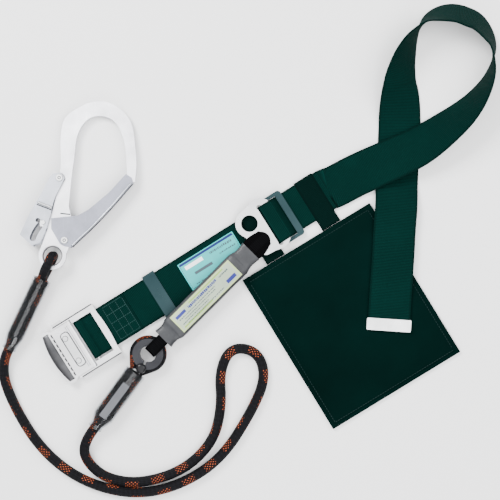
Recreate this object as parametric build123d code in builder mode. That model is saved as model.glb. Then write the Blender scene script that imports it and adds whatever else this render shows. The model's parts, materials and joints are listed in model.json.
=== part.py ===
"""Shock absorbing rope lanyard with its hook, absorber, belt and pouch, laid flat.

Millimetres.  X runs right, Y runs away from the viewer, Z is up and the floor is Z = 0.
"""

import os
from math import atan2, cos, degrees, hypot, pi, radians, sin, tan

from build123d import *

# ---------------------------------------------------------------- driving dimensions
# rope
ROPE_R = 6.0
ROPE_Z = 6.2
EYE_ROPE_R = 4.6
FLOOR_GAP = 0.2

# hook, in its own plane: origin at the eye centre, +Y along the spine
HOOK_AT = (-233.0, -44.8, 17.4)
HOOK_TURN = -6.0
HOOK_TILT = 3.9
HOOK_T = 8.0
EYE_R = 16.0
EYE_HOLE_R = 10.6
SHEET_T = 1.6
SHEET_GAP = 0.15
LEVER_GAP = 0.5
GATE_PIVOT = (12.2, 19.4)
LEVER_PIVOT = (-1.7, 91.6)
GUIDE_PIN = (-14.7, 37.5)
LEVER_WINDOW = ((-16.6, 35.4), (-21.4, 27.4), (-24.4, 18.2))
LEVER_WINDOW_W = 7.6
THIMBLE_T = 1.2
LOOP_REACH = 13.3
RIVET_R = 3.0
GUIDE_PIN_R = 2.4
RIVET_HEAD_R = 4.2
RIVET_HEAD_T = 1.3
RUN_FIT = 0.08
LEVER_PRESS = 5.0
POCKET_R = 6.4
POCKET_DEPTH = 4.0

# sleeves over the spliced rope ends: rope end, loop end, widest radius
HOOK_ROPE_END = (-286.7, -156.9, 11.3)
HOOK_SLEEVE_END = (-246.0, -71.9, 13.6)
HOOK_SLEEVE_R = 10.6
RING_ROPE_END = (-186.0, -249.1, 13.3)
RING_SLEEVE_END = (-136.2, -181.5, 13.4)
RING_SLEEVE_R = 12.6
SLEEVE_WALL = 1.2
SLEEVE_FIT = 0.35
SLEEVE_NECK_R = 8.2
NECK_LENGTH = 8.0
CONE_LENGTH = 12.0
COLLAR_L = 6.0

# ring thimble, axis upright
RING_AT = (-121.5, -160.0)
RING_Z = 12.6
RING_HOLE_R = 9.5
RING_HUB = 3.0
RING_FLANGE_R = 18.2
RING_FLANGE_T = 1.6
RING_LEG_DEG = 52.0
RING_LEG_L = 16.0
RING_SPLIT = 3.0
RING_SPLIT_ANGLE = 250.0
BUTTON_AT = (-129.4, -176.4)
BUTTON_R = 6.0
BUTTON_T = 4.2
SLEEVE_LABEL = (48.0, 9.0)

# absorber, in a plane at the ring centre with +X toward the connector plate
ABSORBER_TURN = 45.0
COVER_Z = 13.7
COVER_W = 31.0
COVER_H = 15.0
NECK_H = 9.6
NECK_LOW_W = 20.0
NECK_HIGH_W = 20.0
COVER_START = 30.0
BODY_START = 42.0
BODY_END = 151.0
COVER_END = 171.0
COVER_WALL = 1.5
SHOULDER = 8.0
ABSORBER_LABEL = (96.0, 24.0)
LOOP_REST = 4.6
TEAR_FIT = 0.9
WEB_T = 2.4
LOOP_W = 15.0
UPPER_LOOP_X = 190.5

# belt, in a plane at the plate slot with +X along the belt
BELT_AT = (20.4, -6.4)
BELT_TURN = 32.0
BELT_W = 50.0
BELT_T = 2.2
BELT_V = -2.2
BELT_LIFT = 1.9
BELT_Z = BELT_LIFT + BELT_T / 2
PLATE_Z = 8.8
PLATE_T = 3.5
PLATE_BAR = 12.2
BELT_SLOT = 5.0
SOFT_GAP = 0.3
SLIDER_Z = 4.5
SLIDER_T = 2.9
SLIDER_FROM = 3.0
SLIDER_TO = 31.0
SLIDER_BAR = 8.0
SLIDER_RAIL = 5.0
MOUNT_HOLE = (-19.6, 11.8)
MOUNT_HOLE_R = 9.9
LOBE_R = 16.6

BELT_STRAIGHT = 80.0
FOLD_L = 39.0
KEEPER_U = -153.5
KEEPER_L = 15.6
KEEPER_T = 1.4
BELT_LABEL = (76.0, 35.0)
BELT_LABEL_AT = (-80.0, -2.2)
TIP_L = 14.0
TIP_T = 4.6

# buckle, in a plane under its belt bar with +X toward the handle
BUCKLE_U = -230.2
BUCKLE_V = -3.4
BUCKLE_W = 67.0
BUCKLE_WALL_T = 2.0
BUCKLE_WALL_H = 10.0
BUCKLE_BASE_T = 1.8
BUCKLE_BAR_R = 1.5
BUCKLE_BAR_Z = 5.9
WINDOW_L = 29.5
BELT_BAR_X = 24.0
TOP_PLATE_T = 1.8
CAM_PIN_R = 2.0
CAM_PIN_X = 33.0
CAM_PIN_Z = 6.8
CAM_R = 3.9
LEVER_T = 2.0
HANDLE_W = 12.0

# pouch, in a plane at its upper left corner with +X along the top edge
POUCH_AT = (-10.8, -73.9)
POUCH_TURN = 31.4
POUCH_W = 176.0
POUCH_H = 206.0
POUCH_SKIN = 1.6
POUCH_T = 5.0
POUCH_HEM = 4.0
POUCH_Z = 0.4
LOOP_T = 1.2
POUCH_LOOP_W = 24.4
POUCH_LOOPS = (("pouch_loop_left", -15.4, -40.6), ("pouch_loop_right", 61.6, -41.4))

os.makedirs("parts", exist_ok=True)


def save(part, name):
    """Label a finished piece and write its STEP file."""
    part.label = name
    export_step(part, f"parts/{name}.step")


# ---------------------------------------------------------------- working planes
turn = radians(HOOK_TURN)
tilt = radians(HOOK_TILT)
HOOK = Plane(
    origin=HOOK_AT,
    x_dir=(cos(turn), sin(turn), 0),
    z_dir=(-sin(turn) * sin(tilt), cos(turn) * sin(tilt), cos(tilt)),
)
ABSORBER = Plane((RING_AT[0], RING_AT[1], 0), x_dir=Vector(1, 0, 0).rotate(Axis.Z, ABSORBER_TURN))
BELT = Plane((BELT_AT[0], BELT_AT[1], 0), x_dir=Vector(1, 0, 0).rotate(Axis.Z, BELT_TURN))
buckle_foot = BELT.from_local_coords((BUCKLE_U, BUCKLE_V, 0))
BUCKLE = Plane(buckle_foot, x_dir=-BELT.x_dir)
POUCH = Plane((POUCH_AT[0], POUCH_AT[1], 0), x_dir=Vector(1, 0, 0).rotate(Axis.Z, POUCH_TURN))

# ---------------------------------------------------------------- hook body
HOOK_OUTER = [
    (-9.0, 30.0), (-4.4, 62.0), (-2.9, 114.3), (-5.4, 132.3), (-6.0, 151.2), (-2.4, 164.7),
    (8.2, 174.7), (22.7, 183.9), (35.1, 187.1), (49.3, 185.5), (63.2, 177.9), (73.3, 167.3),
    (78.6, 153.7), (82.1, 138.7), (85.2, 122.3), (86.5, 103.1),
]
HOOK_NOSE = [(86.3, 96.5), (80.0, 93.5), (76.4, 99.0)]
HOOK_INNER = [
    (76.4, 106.0), (73.7, 121.1), (70.9, 134.9), (66.2, 148.6), (60.0, 159.5), (51.5, 167.0),
    (36.9, 170.0), (24.6, 165.5), (16.7, 154.9), (12.9, 143.0), (12.4, 126.3), (12.0, 101.8),
    (12.6, 59.3),
]
with BuildPart() as hook_body:
    with BuildSketch(HOOK.offset(-HOOK_T / 2)):
        with BuildLine():
            Spline(*HOOK_OUTER)
            Polyline(HOOK_OUTER[-1], *HOOK_NOSE, HOOK_INNER[0])
            Spline(*HOOK_INNER)
            Polyline(HOOK_INNER[-1], (19.5, 40.0), (21.5, 22.0), (15.5, 4.0), (-15.5, 4.0), HOOK_OUTER[0])
        make_face()
        Circle(EYE_R)
        Circle(EYE_HOLE_R, mode=Mode.SUBTRACT)
        Polygon((-2.0, 30.0), (-18.6, 33.5), (-18.6, 41.5), (0.0, 54.0), align=None)
        with Locations(GUIDE_PIN):
            Circle(GUIDE_PIN_R, mode=Mode.SUBTRACT)
        with Locations(GATE_PIVOT, LEVER_PIVOT):
            Circle(RIVET_R + RUN_FIT, mode=Mode.SUBTRACT)
    extrude(amount=HOOK_T)
    with BuildSketch(HOOK.offset(HOOK_T / 2 - POCKET_DEPTH)):
        with Locations(GATE_PIVOT, LEVER_PIVOT):
            Circle(POCKET_R)
    extrude(amount=POCKET_DEPTH, mode=Mode.SUBTRACT)
    hole_rims = hook_body.edges().filter_by(GeomType.CIRCLE).filter_by(
        lambda e: abs(e.radius - EYE_HOLE_R) < 0.01
    )
    fillet(hole_rims, 2.0)
save(hook_body.part, "hook_body")

# ---------------------------------------------------------------- gate: U channel round the hook
GATE_SIDE = [
    (-6.0, 43.5), (-4.5, 31.0), (7.0, 15.5), (13.6, 12.6), (20.3, 12.0), (39.8, 33.8),
    (62.0, 63.0), (84.7, 95.0), (82.4, 100.8), (75.2, 104.6), (57.9, 80.8), (35.9, 57.9), (24.5, 50.0),
]
WEB_OUTER = [(23.0, 15.6), (39.8, 34.6), (61.6, 63.2), (75.6, 83.2)]
gate_in = HOOK_T / 2 + SHEET_GAP
gate_out = gate_in + SHEET_T
with BuildPart() as hook_gate:
    for level in (gate_in, -gate_out):
        with BuildSketch(HOOK.offset(level)):
            Polygon(*GATE_SIDE, align=None)
            fillet(vertices().group_by(Axis.Y)[-1], 1.0)
            with Locations(GATE_PIVOT):
                Circle(RIVET_R + RUN_FIT, mode=Mode.SUBTRACT)
        extrude(amount=SHEET_T)
    with BuildSketch(HOOK.offset(-gate_out)):
        with BuildLine():
            Polyline(*WEB_OUTER)
            offset(amount=SHEET_T / 2, side=Side.BOTH)
        make_face()
    extrude(amount=2 * gate_out)
save(hook_gate.part, "hook_gate")

# ---------------------------------------------------------------- rivets through the hook
lever_in = gate_out + LEVER_GAP
lever_out = lever_in + SHEET_T


def rivet(at, half_grip):
    """Headed rivet whose shank crosses the hook at a point of its plane."""
    with BuildPart() as body:
        with BuildSketch(HOOK.offset(-half_grip - RIVET_HEAD_T)):
            with Locations(at):
                Circle(RIVET_R)
        extrude(amount=2 * (half_grip + RIVET_HEAD_T))
        for level in (half_grip, -half_grip - RIVET_HEAD_T):
            with BuildSketch(HOOK.offset(level)):
                with Locations(at):
                    Circle(RIVET_HEAD_R)
            extrude(amount=RIVET_HEAD_T)
        chamfer(body.edges().filter_by(GeomType.CIRCLE).filter_by(
            lambda e: abs(e.radius - RIVET_HEAD_R) < 0.01).group_by(SortBy.DISTANCE)[-1], 0.5)
    return body


gate_rivet = rivet(GATE_PIVOT, gate_out + SHEET_GAP)
save(gate_rivet.part, "gate_pivot_rivet")
lever_rivet = rivet(LEVER_PIVOT, lever_out + SHEET_GAP)
save(lever_rivet.part, "lock_pivot_rivet")

# ---------------------------------------------------------------- lock lever: pressed channel
LEVER_SIDE = [
    (-13.6, 90.0), (-9.5, 95.8), (-1.0, 97.6), (4.6, 92.0), (-3.6, 70.0), (-5.6, 61.0), (-6.8, 48.3),
    (-10.0, 29.9), (-14.8, 14.0), (-24.6, 9.1), (-39.9, 20.7), (-33.0, 42.0), (-26.0, 59.2), (-20.0, 72.0),
]
LEVER_WEB = [(-12.4, 90.0), (-18.9, 72.3), (-24.8, 59.6), (-31.8, 42.5), (-38.6, 21.2), (-24.6, 10.4)]
pin_dx = GUIDE_PIN[0] - LEVER_PIVOT[0]
pin_dy = GUIDE_PIN[1] - LEVER_PIVOT[1]
pin_reach = hypot(pin_dx, pin_dy)
pin_angle = degrees(atan2(pin_dy, pin_dx))
with BuildPart() as lock_lever:
    for level in (lever_in, -lever_out):
        with BuildSketch(HOOK.offset(level)):
            Polygon(*LEVER_SIDE, align=None)
            with Locations(LEVER_PIVOT):
                Circle(RIVET_R + RUN_FIT, mode=Mode.SUBTRACT)
        extrude(amount=SHEET_T)
    with BuildSketch(HOOK.offset(-lever_out)):
        with BuildLine():
            Polyline(*LEVER_WEB)
            offset(amount=SHEET_T / 2, side=Side.BOTH)
        make_face()
    extrude(amount=2 * lever_out)
    with BuildSketch(HOOK.offset(-lever_out)):
        with BuildLine(mode=Mode.PRIVATE) as slot_line:
            CenterArc(LEVER_PIVOT, pin_reach, pin_angle - LEVER_PRESS - 2.0, LEVER_PRESS + 3.0)
            ThreePointArc(*LEVER_WINDOW)
        SlotArc(slot_line.edges()[0], 2 * (GUIDE_PIN_R + RUN_FIT))
        SlotArc(slot_line.edges()[1], LEVER_WINDOW_W)
    extrude(amount=2 * lever_out, mode=Mode.SUBTRACT)
save(lock_lever.part, "lock_lever")

with BuildPart() as guide_pin:
    with BuildSketch(HOOK.offset(-lever_out - 0.8)):
        with Locations(GUIDE_PIN):
            Circle(GUIDE_PIN_R)
    extrude(amount=2 * (lever_out + 0.8))
save(guide_pin.part, "lock_guide_pin")

# ---------------------------------------------------------------- coil springs in the hook pockets
for spring_name, spring_at in (("gate_spring", GATE_PIVOT), ("lock_spring", LEVER_PIVOT)):
    with BuildPart() as coil:
        with BuildSketch(HOOK.offset(HOOK_T / 2 - POCKET_DEPTH + 0.1)):
            with Locations(spring_at):
                Circle(POCKET_R - 0.4)
                Circle(RIVET_R + 0.4, mode=Mode.SUBTRACT)
        extrude(amount=POCKET_DEPTH - 0.3)
    save(coil.part, spring_name)


# ---------------------------------------------------------------- spliced rope ends and sleeves
def splice_frame(foot, head):
    """Plane whose X axis runs up the splice and whose Y axis is the turning radius."""
    along = Vector(*head) - Vector(*foot)
    side = Vector(0, 0, 1).cross(along)
    return Plane(foot, x_dir=along, z_dir=along.cross(side)), along.length


def turned(plane, points):
    """Solid turned about the plane's X axis from a closed profile."""
    with BuildPart() as body:
        with BuildSketch(plane):
            with BuildLine():
                Polyline(*points, close=True)
            make_face()
        revolve(axis=Axis(plane.origin, plane.x_dir))
    return body


def sleeve_set(foot, head, radius, neck_r, prefix):
    """Rope splice, clear sleeve with its necked end and the collar at the loop end."""
    plane, length = splice_frame(foot, head)
    core = radius - SLEEVE_WALL - SLEEVE_FIT
    neck = NECK_LENGTH
    cone = neck + CONE_LENGTH
    splice = turned(plane, [
        (0, 0), (0, ROPE_R), (neck, ROPE_R), (cone, core), (length, core), (length, 0),
    ])
    inner = neck_r - SLEEVE_WALL
    sleeve = turned(plane, [
        (3.0, inner), (3.0, neck_r), (neck, neck_r), (cone, radius), (length - COLLAR_L, radius),
        (length - COLLAR_L, core + SLEEVE_FIT), (cone, core + SLEEVE_FIT), (neck, inner),
    ])
    collar = turned(plane, [
        (length - COLLAR_L + 0.3, core + SLEEVE_FIT), (length - COLLAR_L + 0.3, radius + 0.3),
        (length, radius + 0.3), (length, core + SLEEVE_FIT),
    ])
    save(sleeve.part, f"{prefix}_sleeve")
    save(collar.part, f"{prefix}_sleeve_collar")
    return plane, splice


hook_splice_plane, hook_splice = sleeve_set(
    HOOK_ROPE_END, HOOK_SLEEVE_END, HOOK_SLEEVE_R, SLEEVE_NECK_R, "hook"
)
ring_splice_plane, ring_splice = sleeve_set(
    RING_ROPE_END, RING_SLEEVE_END, RING_SLEEVE_R, SLEEVE_NECK_R, "ring"
)

# ---------------------------------------------------------------- rope loop through the hook eye
to_eye = Vector(HOOK_AT[0] - HOOK_SLEEVE_END[0], HOOK_AT[1] - HOOK_SLEEVE_END[1], 0)
LOOP = Plane((HOOK_AT[0], HOOK_AT[1], HOOK_AT[2] - 0.8), x_dir=to_eye, z_dir=to_eye.cross(Vector(0, 0, 1)))
bar_mid = -(EYE_R + EYE_HOLE_R) / 2
loop_rise = HOOK_T / 2 + THIMBLE_T + EYE_ROPE_R + 0.9
loop_tail = -to_eye.length
sleeve_rise = HOOK_SLEEVE_END[2] - LOOP.origin.Z
with BuildPart() as hook_loop:
    with BuildLine(LOOP) as loop_path:
        FilletPolyline(
            (loop_tail - 6.0, sleeve_rise + EYE_ROPE_R),
            (loop_tail + 2.2, sleeve_rise + EYE_ROPE_R),
            (bar_mid - 6.0, loop_rise),
            (bar_mid + LOOP_REACH, loop_rise),
            (bar_mid + LOOP_REACH, -loop_rise),
            (bar_mid - 6.0, -loop_rise),
            (loop_tail + 2.2, sleeve_rise - EYE_ROPE_R),
            (loop_tail - 6.0, sleeve_rise - EYE_ROPE_R),
            radius=4.8,
        )
    with BuildSketch(Plane(loop_path.line @ 0, z_dir=loop_path.line % 0)):
        Circle(EYE_ROPE_R)
    sweep()
    add(hook_splice.part)
save(hook_loop.part, "hook_rope_eye")

# ---------------------------------------------------------------- ring thimble and the rope round it
RING = Plane((RING_AT[0], RING_AT[1], RING_Z))
groove_h = 2 * EYE_ROPE_R + 2 * 0.3
half_ring = groove_h / 2 + RING_FLANGE_T
with BuildPart() as ring_thimble:
    with BuildSketch(RING.offset(-half_ring)):
        Circle(RING_HOLE_R + RING_HUB)
        Circle(RING_HOLE_R, mode=Mode.SUBTRACT)
    extrude(amount=2 * half_ring)
    for level in (groove_h / 2, -half_ring):
        with BuildSketch(RING.offset(level)):
            Circle(RING_FLANGE_R)
            Circle(RING_HOLE_R, mode=Mode.SUBTRACT)
        extrude(amount=RING_FLANGE_T)
    with BuildSketch(RING.offset(-half_ring)):
        with Locations(Rotation(0, 0, RING_SPLIT_ANGLE)):
            with Locations((RING_HOLE_R - 2.0 + RING_FLANGE_R / 2, 0)):
                Rectangle(RING_FLANGE_R, RING_SPLIT)
    extrude(amount=2 * half_ring, mode=Mode.SUBTRACT)
save(ring_thimble.part, "ring_thimble")

rope_ring_r = RING_HOLE_R + RING_HUB + EYE_ROPE_R + 0.3
tail_dir = Vector(RING_SLEEVE_END[0] - RING_AT[0], RING_SLEEVE_END[1] - RING_AT[1], 0)
tail_deg = degrees(atan2(tail_dir.Y, tail_dir.X))
with BuildPart() as ring_loop:
    with BuildLine(RING) as ring_path:
        arc = CenterArc((0, 0), rope_ring_r, tail_deg + RING_LEG_DEG, 360 - 2 * RING_LEG_DEG)
        Line(arc @ 1, arc @ 1 + (arc % 1) * RING_LEG_L)
        Line(arc @ 0, arc @ 0 - (arc % 0) * RING_LEG_L)
    with BuildSketch(Plane(arc @ 0 - (arc % 0) * RING_LEG_L, z_dir=arc % 0)):
        Circle(EYE_ROPE_R)
    sweep(path=ring_path.wires()[0])
    add(ring_splice.part)
save(ring_loop.part, "ring_rope_eye")

# ---------------------------------------------------------------- absorber: webbing loops, pack, cover
UP = Vector(0, 0, 1)
ABSORBER_SIDE = Plane(ABSORBER.origin, x_dir=ABSORBER.x_dir, z_dir=ABSORBER.x_dir.cross(UP))
ring_top = RING_Z + half_ring
ring_low = RING_Z - half_ring
cover_in = NECK_H / 2 - COVER_WALL - TEAR_FIT
leg_x = RING_HOLE_R - LOOP_REST
over = ring_top + SOFT_GAP
under = ring_low - SOFT_GAP
flange_x = RING_FLANGE_R + SOFT_GAP
with BuildPart() as lower_loop:
    with BuildSketch(ABSORBER_SIDE):
        Polygon(
            (leg_x - WEB_T, under - WEB_T), (leg_x - WEB_T, over + WEB_T), (flange_x, over + WEB_T),
            (COVER_START, COVER_Z + cover_in), (BODY_START, COVER_Z + cover_in),
            (BODY_START, COVER_Z - cover_in), (COVER_START, COVER_Z - cover_in), (flange_x, under - WEB_T),
            align=None,
        )
        Polygon(
            (leg_x, under), (leg_x, over), (flange_x, over), (COVER_START - 1.0, COVER_Z + 0.4),
            (COVER_START - 1.0, COVER_Z), (flange_x, under), align=None, mode=Mode.SUBTRACT,
        )
    extrude(amount=LOOP_W / 2, both=True)
save(lower_loop.part, "lower_loop")

plate_top = PLATE_Z + PLATE_T + SOFT_GAP
plate_low = PLATE_Z - SOFT_GAP
bar_x = UPPER_LOOP_X - PLATE_BAR - 2 * SOFT_GAP
with BuildPart() as upper_loop:
    with BuildSketch(ABSORBER_SIDE):
        Polygon(
            (BODY_END, COVER_Z + cover_in), (COVER_END, COVER_Z + cover_in), (bar_x, plate_top + WEB_T),
            (UPPER_LOOP_X + WEB_T, plate_top + WEB_T), (UPPER_LOOP_X + WEB_T, plate_low - WEB_T),
            (bar_x, plate_low - WEB_T), (COVER_END, COVER_Z - cover_in), (BODY_END, COVER_Z - cover_in),
            align=None,
        )
        Polygon(
            (UPPER_LOOP_X, plate_low), (UPPER_LOOP_X, plate_top), (bar_x, plate_top), (bar_x, plate_low),
            align=None, mode=Mode.SUBTRACT,
        )
    extrude(amount=LOOP_W / 2, both=True)
save(upper_loop.part, "upper_loop")

with BuildPart() as tear_pack:
    with BuildSketch(ABSORBER.offset(COVER_Z)):
        with Locations(((BODY_START + BODY_END) / 2, 0)):
            Rectangle(BODY_END - BODY_START - 1.2, COVER_W - 2 * COVER_WALL - 2 * TEAR_FIT)
    extrude(amount=COVER_H / 2 - COVER_WALL - TEAR_FIT, both=True)
save(tear_pack.part, "tear_pack")


def cover_section(x, width, height):
    """Rounded rectangle across the absorber at a distance along it."""
    where = Plane(ABSORBER.from_local_coords((x, 0, COVER_Z)), x_dir=ABSORBER.y_dir, z_dir=ABSORBER.x_dir)
    with BuildSketch(where) as section:
        RectangleRounded(width, height, 2.4)
    return section.sketch.face()


def cover_solid(skin):
    """Absorber cover shape, shrunk by a skin thickness all round."""
    cut = 2 * skin
    return Solid.make_loft([
        cover_section(x, w - cut, h - cut).outer_wire() for x, w, h in (
            (COVER_START, NECK_LOW_W, NECK_H), (BODY_START - SHOULDER, NECK_LOW_W, NECK_H),
            (BODY_START, COVER_W, COVER_H), (BODY_END, COVER_W, COVER_H),
            (BODY_END + SHOULDER, NECK_HIGH_W, NECK_H), (COVER_END, NECK_HIGH_W, NECK_H),
        )
    ], ruled=True)


with BuildPart() as absorber_cover:
    add(cover_solid(0))
    add(cover_solid(COVER_WALL), mode=Mode.SUBTRACT)
save(absorber_cover.part, "absorber_cover")

with BuildPart() as absorber_label:
    with BuildSketch(ABSORBER.offset(COVER_Z + COVER_H / 2)):
        with Locations(((BODY_START + BODY_END) / 2, 0)):
            Rectangle(ABSORBER_LABEL[0], ABSORBER_LABEL[1])
    extrude(amount=0.3)
save(absorber_label.part, "absorber_label")

# ---------------------------------------------------------------- connector plate
lanyard_slot = BELT.to_local_coords(ABSORBER.from_local_coords((UPPER_LOOP_X + WEB_T / 2, 0, 0)))
PLATE_BODY = [
    (-21.6, 28.4), (-11.6, 30.2), (-3.3, 33.0), (0.9, 33.3), (7.0, 31.0), (12.6, 25.0), (14.0, 18.0),
    (14.0, -22.0), (12.6, -28.0), (7.0, -32.2), (0.0, -33.6), (-9.5, -31.4), (-21.0, -30.6),
    (-25.4, -27.8), (-31.2, -2.4), (-33.0, 2.0),
]
with BuildPart() as connector_plate:
    with BuildSketch(BELT.offset(PLATE_Z)):
        Polygon(*PLATE_BODY, align=None)
        fillet(vertices(), 1.6)
        with Locations(MOUNT_HOLE):
            Circle(LOBE_R)
            Circle(MOUNT_HOLE_R, mode=Mode.SUBTRACT)
        with Locations((0, BELT_V)):
            Rectangle(BELT_SLOT, BELT_W + 1.4, mode=Mode.SUBTRACT)
        with Locations((0, BELT_V + BELT_W / 2 - 0.6), (0, BELT_V - BELT_W / 2 + 0.6)):
            Circle(3.0, mode=Mode.SUBTRACT)
        with Locations(lanyard_slot):
            SlotOverall(
                LOOP_W + 7.0, 6.2, rotation=ABSORBER_TURN - BELT_TURN + 90, mode=Mode.SUBTRACT
            )
    extrude(amount=PLATE_T)
save(connector_plate.part, "connector_plate")

# ---------------------------------------------------------------- slider behind the plate
with BuildPart() as plate_slider:
    with BuildSketch(BELT.offset(SLIDER_Z)):
        with Locations(((SLIDER_FROM + SLIDER_TO) / 2, BELT_V)):
            RectangleRounded(SLIDER_TO - SLIDER_FROM, BELT_W + 2 * SLIDER_RAIL, 4.0)
        with Locations(((SLIDER_FROM + 5.0 + SLIDER_TO - SLIDER_BAR) / 2, BELT_V)):
            Rectangle(SLIDER_TO - SLIDER_BAR - SLIDER_FROM - 5.0, BELT_W + 1.2, mode=Mode.SUBTRACT)
    extrude(amount=SLIDER_T)
save(plate_slider.part, "plate_slider")

# ---------------------------------------------------------------- belt webbing: one strap
# centre of the strap, lean of its width from flat (degrees), height of its low edge
FREE_RUN = [
    (99.0, 37.5, 0.0, 1.9), (123.0, 50.0, 0.0, 2.4), (149.0, 62.0, 8.0, 3.4), (174.0, 73.0, 14.0, 3.6),
    (198.0, 85.0, 24.0, 3.6), (224.0, 103.0, 38.0, 2.6), (247.0, 122.0, 52.0, 1.0), (265.0, 143.0, 68.0, 0.6),
    (278.0, 168.0, 85.0, 0.6), (282.0, 195.0, 104.0, 0.6), (277.0, 212.0, 116.0, 0.6),
    (265.0, 228.0, 124.0, 0.6), (252.0, 235.0, 126.0, 0.6), (238.0, 239.0, 124.0, 0.6),
    (223.0, 238.0, 119.0, 0.6), (209.0, 233.0, 108.0, 0.6), (199.0, 225.0, 92.0, 0.6),
    (188.0, 208.0, 72.0, 0.6), (182.0, 194.0, 60.0, 0.6), (178.0, 181.0, 51.0, 0.6),
    (175.0, 163.0, 38.0, 0.4), (175.0, 145.0, 22.0, 0.3), (175.0, 120.0, 5.0, 0.2), (175.0, 104.0, 0.0, 0.2),
    (174.0, 80.0, 0.0, 0.2), (172.0, 45.0, 0.0, 0.3), (170.5, 14.0, 0.0, 8.5), (168.5, -14.0, 0.0, 8.5),
    (166.5, -50.0, 0.0, 8.5), (164.0, -85.0, 0.0, 8.5), (162.0, -120.0, 0.0, 8.5), (161.6, -126.0, 0.0, 8.5),
]
BELT_SIDE = Plane(BELT.from_local_coords((0, BELT_V, 0)), x_dir=BELT.x_dir, z_dir=BELT.x_dir.cross(UP))
over_plate = PLATE_Z + PLATE_T + SOFT_GAP + BELT_T / 2
fold_z = BELT_Z + BELT_T + SOFT_GAP
wrap = BUCKLE_BAR_R + SOFT_GAP + BELT_T / 2
belt_bar_u = BUCKLE_U - BELT_BAR_X
strap_start = BELT.from_local_coords((BELT_STRAIGHT, BELT_V, BELT_Z))


def strap_section(index):
    """Belt cross section at one place of the free run."""
    x, y, lean, low = FREE_RUN[index]
    before = FREE_RUN[max(index - 1, 0)] if index else (strap_start.X, strap_start.Y)
    after = FREE_RUN[min(index + 1, len(FREE_RUN) - 1)]
    along = Vector(after[0] - before[0], after[1] - before[1], 0).normalized()
    across = along.cross(UP) * cos(radians(lean)) + UP * sin(radians(lean))
    height = low + (BELT_W * sin(radians(lean)) + BELT_T * abs(cos(radians(lean)))) / 2
    plane = Plane((x, y, height), x_dir=across, z_dir=along)
    with BuildSketch(plane) as section:
        Rectangle(BELT_W, BELT_T)
    return section.sketch.face().outer_wire()


with BuildPart() as belt_webbing:
    with BuildSketch(BELT_SIDE):
        with BuildLine():
            FilletPolyline(
                (BUCKLE_U + FOLD_L, fold_z), (belt_bar_u + 7.0, fold_z),
                (belt_bar_u + 4.0, BUCKLE_BAR_Z + wrap),
                (belt_bar_u - wrap, BUCKLE_BAR_Z + wrap), (belt_bar_u - wrap, BELT_Z), (0, BELT_Z),
                (0, over_plate), (14.8, over_plate), (21.4, BELT_Z), (BELT_STRAIGHT, BELT_Z),
                radius=1.2,
            )
        trace(line_width=BELT_T)
    extrude(amount=BELT_W / 2, both=True)
    with BuildSketch(Plane(strap_start, x_dir=BELT.x_dir.cross(UP), z_dir=BELT.x_dir)) as first:
        Rectangle(BELT_W, BELT_T)
    add(Solid.make_loft(
        [first.sketch.face().outer_wire()] + [strap_section(i) for i in range(len(FREE_RUN))], ruled=True,
    ))
save(belt_webbing.part, "belt_webbing")

tip_x, tip_y, tip_lean, tip_low = FREE_RUN[-1]
tip_dir = Vector(tip_x - FREE_RUN[-2][0], tip_y - FREE_RUN[-2][1], 0).normalized()
TIP = Plane((tip_x, tip_y, tip_low + BELT_T / 2), x_dir=tip_dir)
with BuildPart() as belt_tip:
    with BuildSketch(TIP):
        with Locations((TIP_L / 2 - 7.0, 0)):
            RectangleRounded(TIP_L, BELT_W + 2.0, 1.5)
    extrude(amount=TIP_T / 2, both=True)
    with BuildSketch(TIP):
        with Locations((-4.0, 0)):
            Rectangle(8.6, BELT_W + 0.6)
    extrude(amount=BELT_T / 2 + SOFT_GAP, both=True, mode=Mode.SUBTRACT)
save(belt_tip.part, "belt_tip")

# ---------------------------------------------------------------- keeper and label on the belt
CROSS = Plane(BELT.from_local_coords((0, 0, 0)), x_dir=BELT.y_dir, z_dir=BELT.x_dir)
keeper_out = KEEPER_T + SOFT_GAP
with BuildPart() as belt_keeper:
    with BuildSketch(CROSS.offset(KEEPER_U - KEEPER_L / 2)):
        with Locations((BELT_V, BELT_Z)):
            RectangleRounded(BELT_W + 2 * keeper_out + 2.0, BELT_T + 2 * keeper_out, 1.6)
            Rectangle(BELT_W + 2 * SOFT_GAP, BELT_T + 2 * SOFT_GAP, mode=Mode.SUBTRACT)
    extrude(amount=KEEPER_L)
save(belt_keeper.part, "belt_keeper")

with BuildPart() as belt_label:
    with BuildSketch(BELT.offset(BELT_Z + BELT_T / 2)):
        with Locations(BELT_LABEL_AT):
            Rectangle(*BELT_LABEL)
    extrude(amount=0.4)
save(belt_label.part, "belt_label")

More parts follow.
